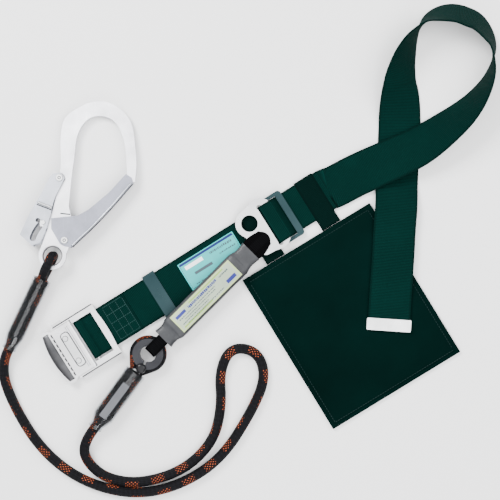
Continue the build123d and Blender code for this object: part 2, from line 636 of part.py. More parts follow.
# ---------------------------------------------------------------- buckle
half_w = BUCKLE_W / 2
inside_w = half_w - BUCKLE_WALL_T
base_end = 54.0
with BuildPart() as buckle_frame:
    with BuildSketch(BUCKLE.offset(FLOOR_GAP)):
        with Locations(((WINDOW_L + base_end) / 2, 0)):
            Rectangle(base_end - WINDOW_L, BUCKLE_W)
    extrude(amount=BUCKLE_BASE_T)
    for side in (-1, 1):
        with BuildSketch(BUCKLE.offset(FLOOR_GAP)):
            with Locations(((base_end - 3.0) / 2, side * (half_w - BUCKLE_WALL_T / 2))):
                Rectangle(base_end + 3.0, BUCKLE_WALL_T)
        extrude(amount=BUCKLE_WALL_H)
        with BuildSketch(BUCKLE.offset(FLOOR_GAP)):
            with Locations((46.0, side * (half_w + 2.0))):
                Rectangle(12.0, 4.0)
        extrude(amount=BUCKLE_BASE_T)
    plate_low_z = FLOOR_GAP + BUCKLE_WALL_H - TOP_PLATE_T
    with BuildSketch(BUCKLE.offset(plate_low_z)):
        with Locations((13.0, 0)):
            Rectangle(32.0, BUCKLE_W)
        with Locations((16.0, 0)):
            Rectangle(25.0, BELT_W + 3.0, mode=Mode.SUBTRACT)
    extrude(amount=TOP_PLATE_T)
    with BuildSketch(BUCKLE.offset(plate_low_z)):
        with BuildLine():
            ThreePointArc((-1.5, -inside_w), (-4.4, 0), (-1.5, inside_w))
            Polyline((-1.5, inside_w), (2.6, inside_w), (2.6, -inside_w), (-1.5, -inside_w))
        make_face()
    extrude(amount=TOP_PLATE_T + 0.9)
    pin_side = Plane(BUCKLE.from_local_coords((0, -half_w, 0)), x_dir=BUCKLE.x_dir, z_dir=BUCKLE.y_dir)
    for pin_at, pin_r in (((BELT_BAR_X, BUCKLE_BAR_Z), BUCKLE_BAR_R), ((CAM_PIN_X, CAM_PIN_Z), CAM_PIN_R)):
        with BuildSketch(pin_side):
            with Locations((pin_at[0], -pin_at[1])):
                Circle(pin_r)
        extrude(amount=BUCKLE_W, mode=Mode.SUBTRACT)
save(buckle_frame.part, "buckle_frame")

for rod_name, rod_at, rod_r in (
    ("buckle_bar", (BELT_BAR_X, BUCKLE_BAR_Z), BUCKLE_BAR_R), ("cam_pin", (CAM_PIN_X, CAM_PIN_Z), CAM_PIN_R),
):
    with BuildPart() as rod:
        with BuildSketch(pin_side):
            with Locations((rod_at[0], -rod_at[1])):
                Circle(rod_r)
        extrude(amount=BUCKLE_W)
    save(rod.part, rod_name)

lever_z = CAM_PIN_Z + CAM_R - LEVER_T
lever_w = inside_w - 0.6
with BuildPart() as cam_lever:
    with BuildSketch(BUCKLE.offset(lever_z)):
        with BuildLine():
            Polyline((CAM_PIN_X, -lever_w), (56.0, -lever_w), (60.0, -34.0), (67.4, -34.0))
            ThreePointArc((67.4, -34.0), (72.4, 0), (67.4, 34.0))
            Polyline((67.4, 34.0), (60.0, 34.0), (56.0, lever_w), (CAM_PIN_X, lever_w), (CAM_PIN_X, -lever_w))
        make_face()
    extrude(amount=LEVER_T)
    with BuildSketch(BUCKLE.offset(lever_z)):
        with BuildLine():
            ThreePointArc((67.4, -34.0), (72.4, 0), (67.4, 34.0))
            Line((67.4, 34.0), (60.4, 34.0))
            ThreePointArc((60.4, 34.0), (58.6, 0), (60.4, -34.0))
            Line((60.4, -34.0), (67.4, -34.0))
        make_face()
    extrude(amount=LEVER_T + 1.6)
    with BuildSketch(pin_side.offset(half_w - lever_w)):
        with Locations((CAM_PIN_X, -CAM_PIN_Z)):
            Circle(CAM_R)
    extrude(amount=2 * lever_w)
    with BuildSketch(pin_side.offset(half_w - lever_w)):
        with Locations((CAM_PIN_X, -CAM_PIN_Z)):
            Circle(CAM_PIN_R + RUN_FIT)
    extrude(amount=2 * lever_w, mode=Mode.SUBTRACT)
save(cam_lever.part, "cam_lever")

panel_z = lever_z + LEVER_T
with BuildPart() as lever_plate:
    with BuildSketch(BUCKLE.offset(panel_z)):
        with Locations((43.4, 0)):
            RectangleRounded(10.5, 43.0, 2.0)
        with Locations((45.0, 15.0), (45.0, -15.0)):
            Circle(1.6, mode=Mode.SUBTRACT)
    extrude(amount=1.0)
save(lever_plate.part, "lever_plate")

with BuildPart() as lever_rivets:
    for rivet_y in (15.0, -15.0):
        with BuildSketch(BUCKLE.offset(panel_z)):
            with Locations((45.0, rivet_y)):
                Circle(1.6)
        extrude(amount=1.0)
        with BuildSketch(BUCKLE.offset(panel_z + 1.0)):
            with Locations((45.0, rivet_y)):
                Circle(2.9)
        extrude(amount=0.8)
save(lever_rivets.part, "lever_rivets")

# ---------------------------------------------------------------- pouch and its belt loops
pouch_mid = (POUCH_W / 2, -POUCH_H / 2)
front_z = POUCH_Z + POUCH_SKIN
with BuildPart() as pouch_back:
    with BuildSketch(POUCH.offset(POUCH_Z)):
        with Locations(pouch_mid):
            RectangleRounded(POUCH_W, POUCH_H, 3.0)
    extrude(amount=POUCH_SKIN)
save(pouch_back.part, "pouch_back")

with BuildPart() as pouch_front:
    with BuildSketch(POUCH.offset(front_z)):
        with Locations(pouch_mid):
            RectangleRounded(POUCH_W - 2 * POUCH_HEM - 0.6, POUCH_H - 2 * POUCH_HEM - 0.6, 6.0)
    extrude(amount=POUCH_T)
save(pouch_front.part, "pouch_front")

with BuildPart() as pouch_hem:
    with BuildSketch(POUCH.offset(front_z)):
        with Locations(pouch_mid):
            RectangleRounded(POUCH_W, POUCH_H, 3.0)
            RectangleRounded(POUCH_W - 2 * POUCH_HEM, POUCH_H - 2 * POUCH_HEM, 6.0, mode=Mode.SUBTRACT)
    extrude(amount=2.4)
save(pouch_hem.part, "pouch_hem")

loop_low = BELT_Z - BELT_T / 2 - SOFT_GAP
loop_high = BELT_Z + BELT_T / 2 + SOFT_GAP
belt_top_v = BELT_V + BELT_W / 2 + SOFT_GAP
belt_low_v = BELT_V - BELT_W / 2 - SOFT_GAP
for loop_name, loop_u, loop_end in POUCH_LOOPS:
    with BuildPart() as pouch_loop:
        with BuildSketch(CROSS.offset(loop_u - POUCH_LOOP_W / 2)):
            Polygon(
                (belt_top_v + LOOP_T, loop_low - LOOP_T), (belt_top_v + LOOP_T, loop_high + LOOP_T),
                (loop_end, loop_high + LOOP_T), (loop_end, loop_low - LOOP_T), align=None,
            )
            Polygon(
                (belt_top_v, loop_low), (belt_top_v, loop_high), (belt_low_v, loop_high),
                (belt_low_v, loop_low), align=None, mode=Mode.SUBTRACT,
            )
        extrude(amount=POUCH_LOOP_W)
    save(pouch_loop.part, loop_name)

# ---------------------------------------------------------------- rope: straight runs joined by arcs
ROPE_POINTS = [
    (-281.0, -221.0, 6.2), (-248.0, -274.0, 6.2), (-200.0, -311.0, 6.2), (-140.0, -327.0, 6.2),
    (-85.0, -316.0, 6.2), (-35.0, -284.0, 6.2), (2.0, -225.0, 6.2), (17.0, -187.0, 6.2),
    (7.0, -157.0, 6.2), (-24.0, -152.0, 6.2), (-38.0, -181.0, 6.2), (-35.0, -222.0, 6.2),
    (-45.0, -264.0, 6.2), (-80.0, -298.0, 6.2), (-130.0, -313.5, 6.2), (-170.0, -308.0, 6.4),
    (-194.0, -288.0, 9.0),
]
ROPE_LEAD = 21.0
rope_line = [
    Vector(*HOOK_ROPE_END),
    Vector(*HOOK_ROPE_END) - hook_splice_plane.x_dir * ROPE_LEAD,
    *[Vector(*point) for point in ROPE_POINTS],
    Vector(*RING_ROPE_END) - ring_splice_plane.x_dir * ROPE_LEAD,
    Vector(*RING_ROPE_END),
]
rope_radii = []
for before, here, after in zip(rope_line, rope_line[1:], rope_line[2:]):
    half_turn = radians((here - before).get_angle(after - here)) / 2
    shorter = min((here - before).length, (after - here).length)
    rope_radii.append(0.45 * shorter / tan(half_turn))
print("rope bend radii", [round(r, 1) for r in rope_radii])
with BuildPart() as rope:
    with BuildLine() as rope_path:
        FilletPolyline(*rope_line, radius=rope_radii)
    with BuildSketch(Plane(rope_line[0], z_dir=rope_path.line % 0)):
        Circle(ROPE_R)
    sweep()
rope_length = sum(piece.length for piece in rope_path.edges())
print("rope length", round(rope_length, 1), "volume ratio",
      round(rope.part.volume / (pi * ROPE_R**2 * rope_length), 4))
save(rope.part, "rope")

# ---------------------------------------------------------------- button beside the ring
with BuildPart() as ring_button:
    with BuildSketch(Plane((BUTTON_AT[0], BUTTON_AT[1], ring_top + SOFT_GAP))):
        Circle(BUTTON_R)
    extrude(amount=BUTTON_T)
    fillet(ring_button.edges().group_by(Axis.Z)[-1], BUTTON_T * 0.7)
save(ring_button.part, "ring_button")

# ---------------------------------------------------------------- printed strip in the sleeve
with BuildPart() as sleeve_label:
    with BuildSketch(Plane(
        ring_splice_plane.origin + ring_splice_plane.x_dir * 44.0 + UP * (RING_SLEEVE_R + 0.05),
        x_dir=ring_splice_plane.x_dir, z_dir=UP,
    )):
        Rectangle(*SLEEVE_LABEL)
    extrude(amount=0.3)
save(sleeve_label.part, "sleeve_label")
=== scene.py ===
"""Looks of the shock absorbing lanyard and its belt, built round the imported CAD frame.  Metres."""

import json
import random
from math import atan2, cos, pi, radians, sin

import bpy
from mathutils import Matrix, Vector


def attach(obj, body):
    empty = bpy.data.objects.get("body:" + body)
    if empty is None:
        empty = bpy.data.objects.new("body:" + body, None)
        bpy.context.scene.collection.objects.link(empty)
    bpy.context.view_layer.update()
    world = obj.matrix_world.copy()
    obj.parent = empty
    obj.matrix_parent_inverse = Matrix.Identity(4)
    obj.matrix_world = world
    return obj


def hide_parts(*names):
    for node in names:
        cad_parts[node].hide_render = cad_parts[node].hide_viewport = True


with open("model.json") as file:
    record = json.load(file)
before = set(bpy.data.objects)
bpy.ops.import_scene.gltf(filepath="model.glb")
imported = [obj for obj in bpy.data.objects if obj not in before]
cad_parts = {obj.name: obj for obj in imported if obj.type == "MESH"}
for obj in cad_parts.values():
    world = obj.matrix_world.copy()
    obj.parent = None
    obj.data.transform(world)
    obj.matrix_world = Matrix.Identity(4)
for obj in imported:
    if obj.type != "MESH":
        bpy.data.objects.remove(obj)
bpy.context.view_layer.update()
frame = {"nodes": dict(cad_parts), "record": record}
random.seed(7)
MM = 0.001
UP = Vector((0, 0, 1))

# sizes of the solids that the drawn pieces lie on, in millimetres
HOOK_T, SHEET_T, SHEET_GAP, LEVER_GAP, EYE_ROPE, EYE_GAP = 8.0, 1.6, 0.15, 0.5, 4.6, 1.2
RING_Z, RING_HOLE_R, RING_HUB, RING_HUB_HALF, RING_FLANGE_T = 12.6, 9.5, 3.0, 4.9, 1.6
RING_LEG_DEG, RING_LEG_L = 52, 16.0
PLATE_Z, PLATE_T, SOFT_GAP = 8.8, 3.5, 0.3

# ------------------------------------------------------------------ camera, lights, floor
FRAME_SIDE = 0.590
LENS = 100.0
SENSOR = 36.0
VIEW_CENTRE = Vector((-0.0018, -0.0378, 0.0))
camera_data = bpy.data.cameras.new("camera")
camera_data.lens = LENS
camera_data.sensor_width = SENSOR
camera = bpy.data.objects.new("camera", camera_data)
camera.location = VIEW_CENTRE + UP * (FRAME_SIDE * LENS / SENSOR + 0.006)
bpy.context.scene.collection.objects.link(camera)
bpy.context.scene.camera = camera


def area_light(name, place, size, power, aim=VIEW_CENTRE):
    """Soft square light aimed at a point."""
    data = bpy.data.lights.new(name, "AREA")
    data.shape = "SQUARE"
    data.size = size
    data.energy = power
    light = bpy.data.objects.new(name, data)
    light.location = place
    light.rotation_euler = (aim - Vector(place)).to_track_quat("-Z", "Y").to_euler()
    bpy.context.scene.collection.objects.link(light)


area_light("key", (-0.9, 0.9, 1.5), 0.8, 62.0)
area_light("fill", (1.1, 0.2, 1.4), 1.2, 28.0)
area_light("front", (0.1, -1.3, 1.2), 1.0, 22.0)
area_light("overhead", (0.0, 0.0, 2.5), 2.2, 50.0)
world = bpy.data.worlds.new("studio")
world.use_nodes = True
world.node_tree.nodes["Background"].inputs[0].default_value = (0.95, 0.97, 1.0, 1)
world.node_tree.nodes["Background"].inputs[1].default_value = 0.6
bpy.context.scene.world = world


# ------------------------------------------------------------------ material tools
class Look:
    """A principled material with short calls for its procedural nodes."""

    def __init__(self, name, metallic=0.0, **sockets):
        self.material = bpy.data.materials.new(name)
        self.material.use_nodes = True
        self.tree = self.material.node_tree
        self.shader = self.tree.nodes["Principled BSDF"]
        self.shader.inputs["Metallic"].default_value = metallic
        for socket, value in sockets.items():
            self.shader.inputs[socket.replace("_", " ")].default_value = value
        self.place = self.node("ShaderNodeTexCoord").outputs["Object"]

    def node(self, kind, **settings):
        made = self.tree.nodes.new(kind)
        for key, value in settings.items():
            setattr(made, key, value)
        return made

    def feed(self, socket, value):
        """Link an output, or set a plain value."""
        if isinstance(value, bpy.types.NodeSocket):
            self.tree.links.new(value, socket)
        else:
            socket.default_value = value

    def uv(self):
        parts = self.node("ShaderNodeSeparateXYZ")
        self.feed(parts.inputs[0], self.node("ShaderNodeUVMap", uv_map="metres").outputs[0])
        return parts.outputs[0], parts.outputs[1]

    def math(self, operation, a, b=0.0, c=0.0, clamp=False):
        made = self.node("ShaderNodeMath", operation=operation, use_clamp=clamp)
        for socket, value in zip(made.inputs, (a, b, c)):
            self.feed(socket, value)
        return made.outputs[0]

    def wave(self, along, pitch, phase=0.0):
        """0 to 1 sine ridge of a given pitch in metres."""
        angle = self.math("MULTIPLY_ADD", along, 2 * pi / pitch, phase)
        return self.math("MULTIPLY_ADD", self.math("SINE", angle), 0.5, 0.5)

    def noise(self, scale, detail=3.0, rough=0.55, stretch=None):
        made = self.node("ShaderNodeTexNoise")
        made.inputs["Scale"].default_value = scale
        made.inputs["Detail"].default_value = detail
        made.inputs["Roughness"].default_value = rough
        place = self.place
        if stretch:
            mapping = self.node("ShaderNodeMapping")
            mapping.inputs["Scale"].default_value = stretch[:3]
            mapping.inputs["Rotation"].default_value = (0, 0, radians(stretch[3]))
            self.feed(mapping.inputs[0], self.place)
            place = mapping.outputs[0]
        self.feed(made.inputs["Vector"], place)
        return made.outputs[0]

    def ramp(self, value, *stops):
        made = self.node("ShaderNodeValToRGB")
        while len(made.color_ramp.elements) < len(stops):
            made.color_ramp.elements.new(0.5)
        for element, (position, colour) in zip(made.color_ramp.elements, stops):
            element.position = position
            element.color = (*colour, 1) if len(colour) == 3 else colour
        self.feed(made.inputs[0], value)
        return made.outputs[0]

    def span(self, value, low, high, to_low=0.0, to_high=1.0):
        made = self.node("ShaderNodeMapRange")
        for socket, number in zip(made.inputs, (value, low, high, to_low, to_high)):
            self.feed(socket, number)
        return made.outputs[0]

    def mix(self, amount, a, b):
        made = self.node("ShaderNodeMix", data_type="RGBA")
        self.feed(made.inputs["Factor"], amount)
        for socket, value in ((made.inputs[6], a), (made.inputs[7], b)):
            self.feed(socket, (*value, 1) if isinstance(value, tuple) and len(value) == 3 else value)
        return made.outputs[2]

    def colour(self, value):
        if isinstance(value, tuple):
            value = (*value, 1)
        self.feed(self.shader.inputs["Base Color"], value)

    def rough(self, value):
        self.feed(self.shader.inputs["Roughness"], value)

    def bump(self, height, depth, strength=1.0):
        """Bump whose height 1 stands a given number of metres proud."""
        made = self.node("ShaderNodeBump")
        made.inputs["Strength"].default_value = strength
        made.inputs["Distance"].default_value = depth
        self.feed(made.inputs["Height"], height)
        if self.shader.inputs["Normal"].links:
            self.feed(made.inputs["Normal"], self.shader.inputs["Normal"].links[0].from_socket)
        self.feed(self.shader.inputs["Normal"], made.outputs[0])


def metal(name, tone, rough, brush=None, dark=0.75, scratch=0.25):
    """Worn metal: fine brushing, soft smudges and thin scratches."""
    look = Look(name, metallic=1.0)
    smudge = look.noise(38, 4)
    grain = look.noise(900, 2, 0.6, brush or (1, 1, 1, 0))
    fine = look.noise(240, 5, 0.7, (1, 0.08, 1, 35))
    scar = look.ramp(fine, (0.60, (0, 0, 0)), (0.66, (1, 1, 1)))
    wear_and_braid_shade = look.mix(look.span(smudge, 0.35, 0.7), tone, tuple(c * dark for c in tone))
    look.colour(look.mix(look.math("MULTIPLY", scar, scratch), wear_and_braid_shade, tuple(min(1, c * 1.15) for c in tone)))
    base = look.span(smudge, 0.3, 0.75, rough - 0.06, rough + 0.08)
    look.rough(look.math("MULTIPLY_ADD", grain, 0.16, base))
    look.bump(grain, 0.00002)
    look.bump(scar, 0.00002)
    return look.material


def plastic(name, tone, rough, grain=0.00003, spread=0.25, coat=0.0):
    """Moulded plastic with a fine leathery grain and handling marks."""
    look = Look(name, Coat_Weight=coat)
    look.shader.inputs["Specular IOR Level"].default_value = 0.15
    broad = look.noise(26, 4)
    fine = look.noise(1400, 2)
    pale = tuple(min(1.0, c * (1 + spread) + 0.01) for c in tone)
    look.colour(look.mix(look.span(broad, 0.3, 0.7), tone, pale))
    look.rough(look.span(broad, 0.3, 0.7, rough - 0.07, rough + 0.08))
    look.bump(fine, grain)
    look.bump(look.noise(160, 3), grain * 1.5)
    return look.material


def webbing(name, tone, pale, rib, yarn, half_width, edge=None):
    """Woven strap read from its own metre map: cross ribs, warp yarns, selvedges, fuzz, with painted shade in
    the rib and yarn hollows.
    """
    look = Look(name)
    look.shader.inputs["Specular IOR Level"].default_value = 0.03
    across, along = look.uv()
    warp = look.wave(across, yarn)
    sway = look.math("SINE", look.math("MULTIPLY", across, 2 * pi / yarn))
    lean = look.math("MULTIPLY", sway, 0.9)
    rows = look.math("SINE", look.math("MULTIPLY_ADD", along, 2 * pi / rib, lean))
    ribs = look.math("MULTIPLY_ADD", rows, 0.5, 0.5)
    fuzz = look.noise(2600, 3)
    cloud = look.noise(20, 4)
    border = look.span(look.math("ABSOLUTE", across), half_width - 0.0028, half_width - 0.0020)
    height = look.math("MULTIPLY", ribs, look.math("MULTIPLY_ADD", warp, 0.35, 0.65))
    # rib and yarn hollows get the darker colour: painted shade, times random fuzz tone
    rib_shade_and_fuzz = look.math("MULTIPLY", height, look.span(fuzz, 0.25, 0.75, 0.75, 1.0))
    base = look.mix(rib_shade_and_fuzz, tone, pale)
    base = look.mix(look.span(cloud, 0.45, 0.8, 0.0, 0.22), base, pale)
    base = look.mix(look.math("MULTIPLY", border, 0.55), base, edge or tone)
    look.colour(base)
    look.rough(look.span(fuzz, 0.2, 0.8, 0.72, 0.95))
    look.bump(height, 0.00042)
    look.bump(fuzz, 0.00008)
    return look.material


# ------------------------------------------------------------------ mesh tools
def finish_mesh(name, vertices, faces, coords, body, material, nodes=(), smooth=True):
    """New object with a metre map, riding on a body and standing for CAD nodes."""
    mesh = bpy.data.meshes.new(name)
    mesh.from_pydata([tuple(v) for v in vertices], [], faces)
    layer = mesh.uv_layers.new(name="metres")
    for polygon in mesh.polygons:
        spots = [coords[mesh.loops[i].vertex_index] for i in polygon.loop_indices]
        for loop_index, spot in zip(polygon.loop_indices, spots):
            layer.data[loop_index].uv = spot
        polygon.use_smooth = smooth
    piece = bpy.data.objects.new(name, mesh)
    bpy.context.scene.collection.objects.link(piece)
    mesh.materials.append(material)
    if nodes:
        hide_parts(*nodes)
    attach(piece, body)
    return piece


def grid_faces(rows, columns, closed=True, caps=True):
    """Quads of a grid of points, closed round its columns, with end caps."""
    faces = []
    for row in range(rows - 1):
        for column in range(columns if closed else columns - 1):
            after = (column + 1) % columns
            a, b = row * columns, (row + 1) * columns
            faces.append((a + column, a + after, b + after, b + column))
    if caps:
        faces.append(tuple(reversed(range(columns))))
        faces.append(tuple(range((rows - 1) * columns, rows * columns)))
    return faces


def tube_points(path, radius, sides):
    """Rings of points along a path and their metre map; radius is a number or a call on length."""
    points, coords = [], []
    travelled = 0.0
    side = None
    for index, centre in enumerate(path):
        ahead = (path[min(index + 1, len(path) - 1)] - path[max(index - 1, 0)]).normalized()
        if side is None:
            side = ahead.cross(UP).normalized()
        side = (side - ahead * side.dot(ahead)).normalized()
        up = ahead.cross(side)
        if index:
            travelled += (centre - path[index - 1]).length
        reach = radius(travelled) if callable(radius) else radius
        for step in range(sides):
            angle = 2 * pi * step / sides
            points.append(centre + side * cos(angle) * reach + up * sin(angle) * reach)
            coords.append((step / sides, travelled))
    return points, coords


def tube(name, path, radius, body, material, nodes=(), sides=24):
    points, coords = tube_points(path, radius, sides)
    return finish_mesh(name, points, grid_faces(len(path), sides), coords, body, material, nodes)


STRIP_RIM = [(-1, -0.4), (-0.985, -0.85), (-0.95, -1), (-0.5, -1), (0, -1), (0.5, -1), (0.95, -1),
             (0.985, -0.85), (1, -0.4), (1, 0.4), (0.985, 0.85), (0.95, 1), (0.5, 1), (0, 1), (-0.5, 1),
             (-0.95, 1), (-0.985, 0.85), (-1, 0.4)]


def strip(name, stations, width, thick, body, material, nodes=(), start=0.0):
    """Flat strap with soft edges along stations of (centre, across)."""
    points, coords = [], []
    travelled = start
    for index, (centre, across) in enumerate(stations):
        ahead = stations[min(index + 1, len(stations) - 1)][0] - stations[max(index - 1, 0)][0]
        normal = across.cross(ahead).normalized()
        if index:
            travelled += (centre - stations[index - 1][0]).length
        for a, n in STRIP_RIM:
            points.append(centre + across * (a * width / 2) + normal * (n * thick / 2))
            coords.append((a * width / 2, travelled))
    faces = grid_faces(len(stations), len(STRIP_RIM))
    return finish_mesh(name, points, faces, coords, body, material, nodes), travelled - start


def rounded(corners, bend, step=0.0012):
    """Points along a flat route whose corners are arcs of a given radius."""
    route = [Vector(corners[0])]
    for before, here, after in zip(corners, corners[1:], corners[2:]):
        here = Vector(here)
        back = (Vector(before) - here).normalized()
        front = (Vector(after) - here).normalized()
        for share in range(7):
            t = share / 6
            near = min(bend, (Vector(before) - here).length * 0.49, (Vector(after) - here).length * 0.49)
            route.append(here + back * near * (1 - t) ** 2 + front * near * t**2)
    route.append(Vector(corners[-1]))
    dense = [route[0]]
    for here, after in zip(route, route[1:]):
        pieces = max(1, int((after - here).length / step / 4))
        dense += [here.lerp(after, k / pieces) for k in range(1, pieces + 1)]
    return dense


class Place:
    """A flat working place: origin and turn about the upright axis, sizes in millimetres."""

    def __init__(self, origin, turn, lean=0.0):
        self.matrix = Matrix.Translation(Vector(origin) * MM) @ Matrix.Rotation(radians(turn), 4, "Z")
        self.matrix = self.matrix @ Matrix.Rotation(-radians(lean), 4, "X")
        self.x = (self.matrix.to_3x3() @ Vector((1, 0, 0))).normalized()
        self.y = (self.matrix.to_3x3() @ Vector((0, 1, 0))).normalized()
        self.z = (self.matrix.to_3x3() @ Vector((0, 0, 1))).normalized()

    def at(self, x, y, z):
        return self.matrix @ (Vector((x, y, z)) * MM)


BELT = Place((20.4, -6.4, 0), 32.0)
ABSORBER = Place((-121.5, -160.0, 0), 45.0)
POUCH = Place((-10.8, -73.9, 0), 31.4)
HOOK = Place((-233.0, -44.8, 17.4), -6.0, 3.9)

# ------------------------------------------------------------------ rope
ROPE_R = 6.0 * MM
rope_look = Look("braided_rope")
rope_look.shader.inputs["Specular IOR Level"].default_value = 0.12
turn_share, rope_run = rope_look.uv()
LACE_ROUND, LACE_ALONG = 16, 0.0105
lace_turn = rope_look.math("MULTIPLY", turn_share, LACE_ROUND * pi)
lace_run = rope_look.math("MULTIPLY", rope_run, 2 * pi / LACE_ALONG)
lace_a = rope_look.math("SINE", rope_look.math("ADD", lace_turn, lace_run))
lace_b = rope_look.math("SINE", rope_look.math("SUBTRACT", lace_turn, lace_run))
braid = rope_look.math("MULTIPLY_ADD", rope_look.math("MULTIPLY", lace_a, lace_b), 0.5, 0.5)
fibre = rope_look.noise(2200, 3)
FLECK_ROUND, FLECK_ALONG, TRACER_PITCH = 10, 0.0088, 0.031
fleck_turn = rope_look.math("MULTIPLY", turn_share, FLECK_ROUND * pi)
fleck_run = rope_look.math("MULTIPLY", rope_run, 2 * pi / FLECK_ALONG)
fleck_a = rope_look.math("SINE", rope_look.math("ADD", fleck_turn, fleck_run))
fleck_b = rope_look.math("SINE", rope_look.math("SUBTRACT", fleck_turn, fleck_run))
fleck = rope_look.span(rope_look.math("ABSOLUTE", rope_look.math("MULTIPLY", fleck_a, fleck_b)), 0.76, 0.88)
tracer_run = rope_look.span(rope_look.wave(rope_run, TRACER_PITCH), 0.46, 0.56)
drift = rope_look.math("MULTIPLY", rope_run, 2 * pi / 0.19)
arcs = rope_look.math("SINE", rope_look.math("MULTIPLY_ADD", turn_share, 4 * pi, drift))
tracer_turn = rope_look.span(arcs, -0.1, 0.15)
tracer = rope_look.math("MULTIPLY", rope_look.math("MULTIPLY", tracer_run, tracer_turn), fleck)
# braid crowns are painted lighter and the gaps between strands darker: painted shade, times random fibre tone
wear_and_braid_shade = rope_look.math("MULTIPLY", braid, fibre)
dark_yarn = rope_look.mix(wear_and_braid_shade, (0.0005, 0.0005, 0.0008), (0.0050, 0.0052, 0.0085))
rope_look.colour(rope_look.mix(tracer, dark_yarn, (0.54, 0.105, 0.028)))
rope_look.rough(rope_look.span(fibre, 0.2, 0.8, 0.6, 0.85))
rope_look.bump(braid, 0.0007)
rope_look.bump(fibre, 0.0001)

HOOK_ROPE_END = Vector((-286.7, -156.9, 11.3)) * MM
HOOK_SLEEVE_END = Vector((-246.0, -71.9, 13.6)) * MM
RING_ROPE_END = Vector((-186.0, -249.1, 13.3)) * MM
RING_SLEEVE_END = Vector((-136.2, -181.5, 13.4)) * MM
ROPE_LEAD = 21.0 * MM
ROPE_ROUTE = [
    (-281.0, -221.0, 6.2), (-248.0, -274.0, 6.2), (-200.0, -311.0, 6.2), (-140.0, -327.0, 6.2),
    (-85.0, -316.0, 6.2), (-35.0, -284.0, 6.2), (2.0, -225.0, 6.2), (17.0, -187.0, 6.2),
    (7.0, -157.0, 6.2), (-24.0, -152.0, 6.2), (-38.0, -181.0, 6.2), (-35.0, -222.0, 6.2),
    (-45.0, -264.0, 6.2), (-80.0, -298.0, 6.2), (-130.0, -313.5, 6.2), (-170.0, -308.0, 6.4),
    (-194.0, -288.0, 9.0),
]
hook_axis = (HOOK_SLEEVE_END - HOOK_ROPE_END).normalized()
ring_axis = (RING_SLEEVE_END - RING_ROPE_END).normalized()
controls = [HOOK_ROPE_END, HOOK_ROPE_END - hook_axis * ROPE_LEAD]
controls += [Vector(point) * MM for point in ROPE_ROUTE]
controls += [RING_ROPE_END - ring_axis * ROPE_LEAD, RING_ROPE_END]
route_curve = bpy.data.curves.new("rope_route", "CURVE")
route_curve.dimensions = "3D"
route_curve.resolution_u = 14
spline = route_curve.splines.new("NURBS")
spline.points.add(len(controls) - 1)
for point, place in zip(spline.points, controls):
    point.co = (*place, 1)
spline.order_u = 3
spline.use_endpoint_u = True
route = bpy.data.objects.new("rope_route", route_curve)
bpy.context.scene.collection.objects.link(route)
bpy.context.view_layer.update()
line_mesh = bpy.data.meshes.new_from_object(route)
rope_line = [vertex.co.copy() for vertex in line_mesh.vertices]
bpy.data.objects.remove(route)
rope_piece = tube("rope_braid", rope_line, ROPE_R, "belt", rope_look.material, ("rope",))

# spliced ends: a thickened length in the sleeve and the rope's own loop
EYE_ROPE_R = EYE_ROPE * MM


def splice(name, foot, head, core, nodes):
    """Rope thickened by its splice, whipped near the loop."""
    length = (head - foot).length
    path = [foot.lerp(head, k / 60) for k in range(61)]

    def girth(run):
        grown = min(1.0, max(0.0, (run - 0.008) / 0.012))
        return ROPE_R + (core - ROPE_R) * grown - (0.0008 if run > length - 0.0005 else 0)

    return tube(name, path, girth, "belt", rope_look.material, nodes, sides=32)


splice("hook_splice", HOOK_ROPE_END, HOOK_SLEEVE_END, 9.0 * MM, ("hook_rope_eye",))
splice("ring_splice", RING_ROPE_END, RING_SLEEVE_END, 11.0 * MM, ("ring_rope_eye",))
EYE_PLACE, EYE_Z, EYE_REACH = (-233.0, -44.8), 16.6, 19.3
to_eye = Vector((*EYE_PLACE, 0)) * MM - Vector((HOOK_SLEEVE_END.x, HOOK_SLEEVE_END.y, 0))
tail = -to_eye.length / MM
eye_way = to_eye.normalized()
eye_at = Vector((*EYE_PLACE, EYE_Z)) * MM
rise = HOOK_T / 2 + EYE_GAP + EYE_ROPE + 0.9
sleeve_rise = HOOK_SLEEVE_END.z / MM - EYE_Z
upper, lower = sleeve_rise + EYE_ROPE, sleeve_rise - EYE_ROPE
loop_corners = [
    (tail - 6.0, upper, 0), (tail + 2.2, upper, 0), (-EYE_REACH, rise, 0), (0, rise, 0),
    (0, -rise, 0), (-EYE_REACH, -rise, 0), (tail + 2.2, lower, 0), (tail - 6.0, lower, 0),
]
loop_path = [eye_at + eye_way * p.x * MM + UP * p.y * MM for p in rounded(loop_corners, 5.0, 0.25)]
tube("hook_eye_rope", loop_path, EYE_ROPE_R * 1.2, "belt", rope_look.material, sides=20)

RING_AT = Vector((-121.5, -160.0, RING_Z)) * MM
tail_way = Vector((RING_SLEEVE_END.x - RING_AT.x, RING_SLEEVE_END.y - RING_AT.y, 0))
tail_angle = atan2(tail_way.y, tail_way.x)
ring_reach = (RING_HOLE_R + RING_HUB + EYE_ROPE + SOFT_GAP) * MM
ring_path = []
for step in range(65):
    angle = tail_angle + radians(RING_LEG_DEG + (360 - 2 * RING_LEG_DEG) * step / 64)
    ring_path.append(RING_AT + Vector((cos(angle), sin(angle), 0)) * ring_reach)
start_way = (ring_path[0] - ring_path[1]).normalized()
end_way = (ring_path[-1] - ring_path[-2]).normalized()
leg = RING_LEG_L * MM
ring_path = [ring_path[0] + start_way * leg * k / 6 for k in range(6, 0, -1)] + ring_path
ring_path += [ring_path[-1] + end_way * leg * k / 6 for k in range(1, 7)]
tube("ring_eye_rope", ring_path, EYE_ROPE_R, "belt", rope_look.material, sides=20)

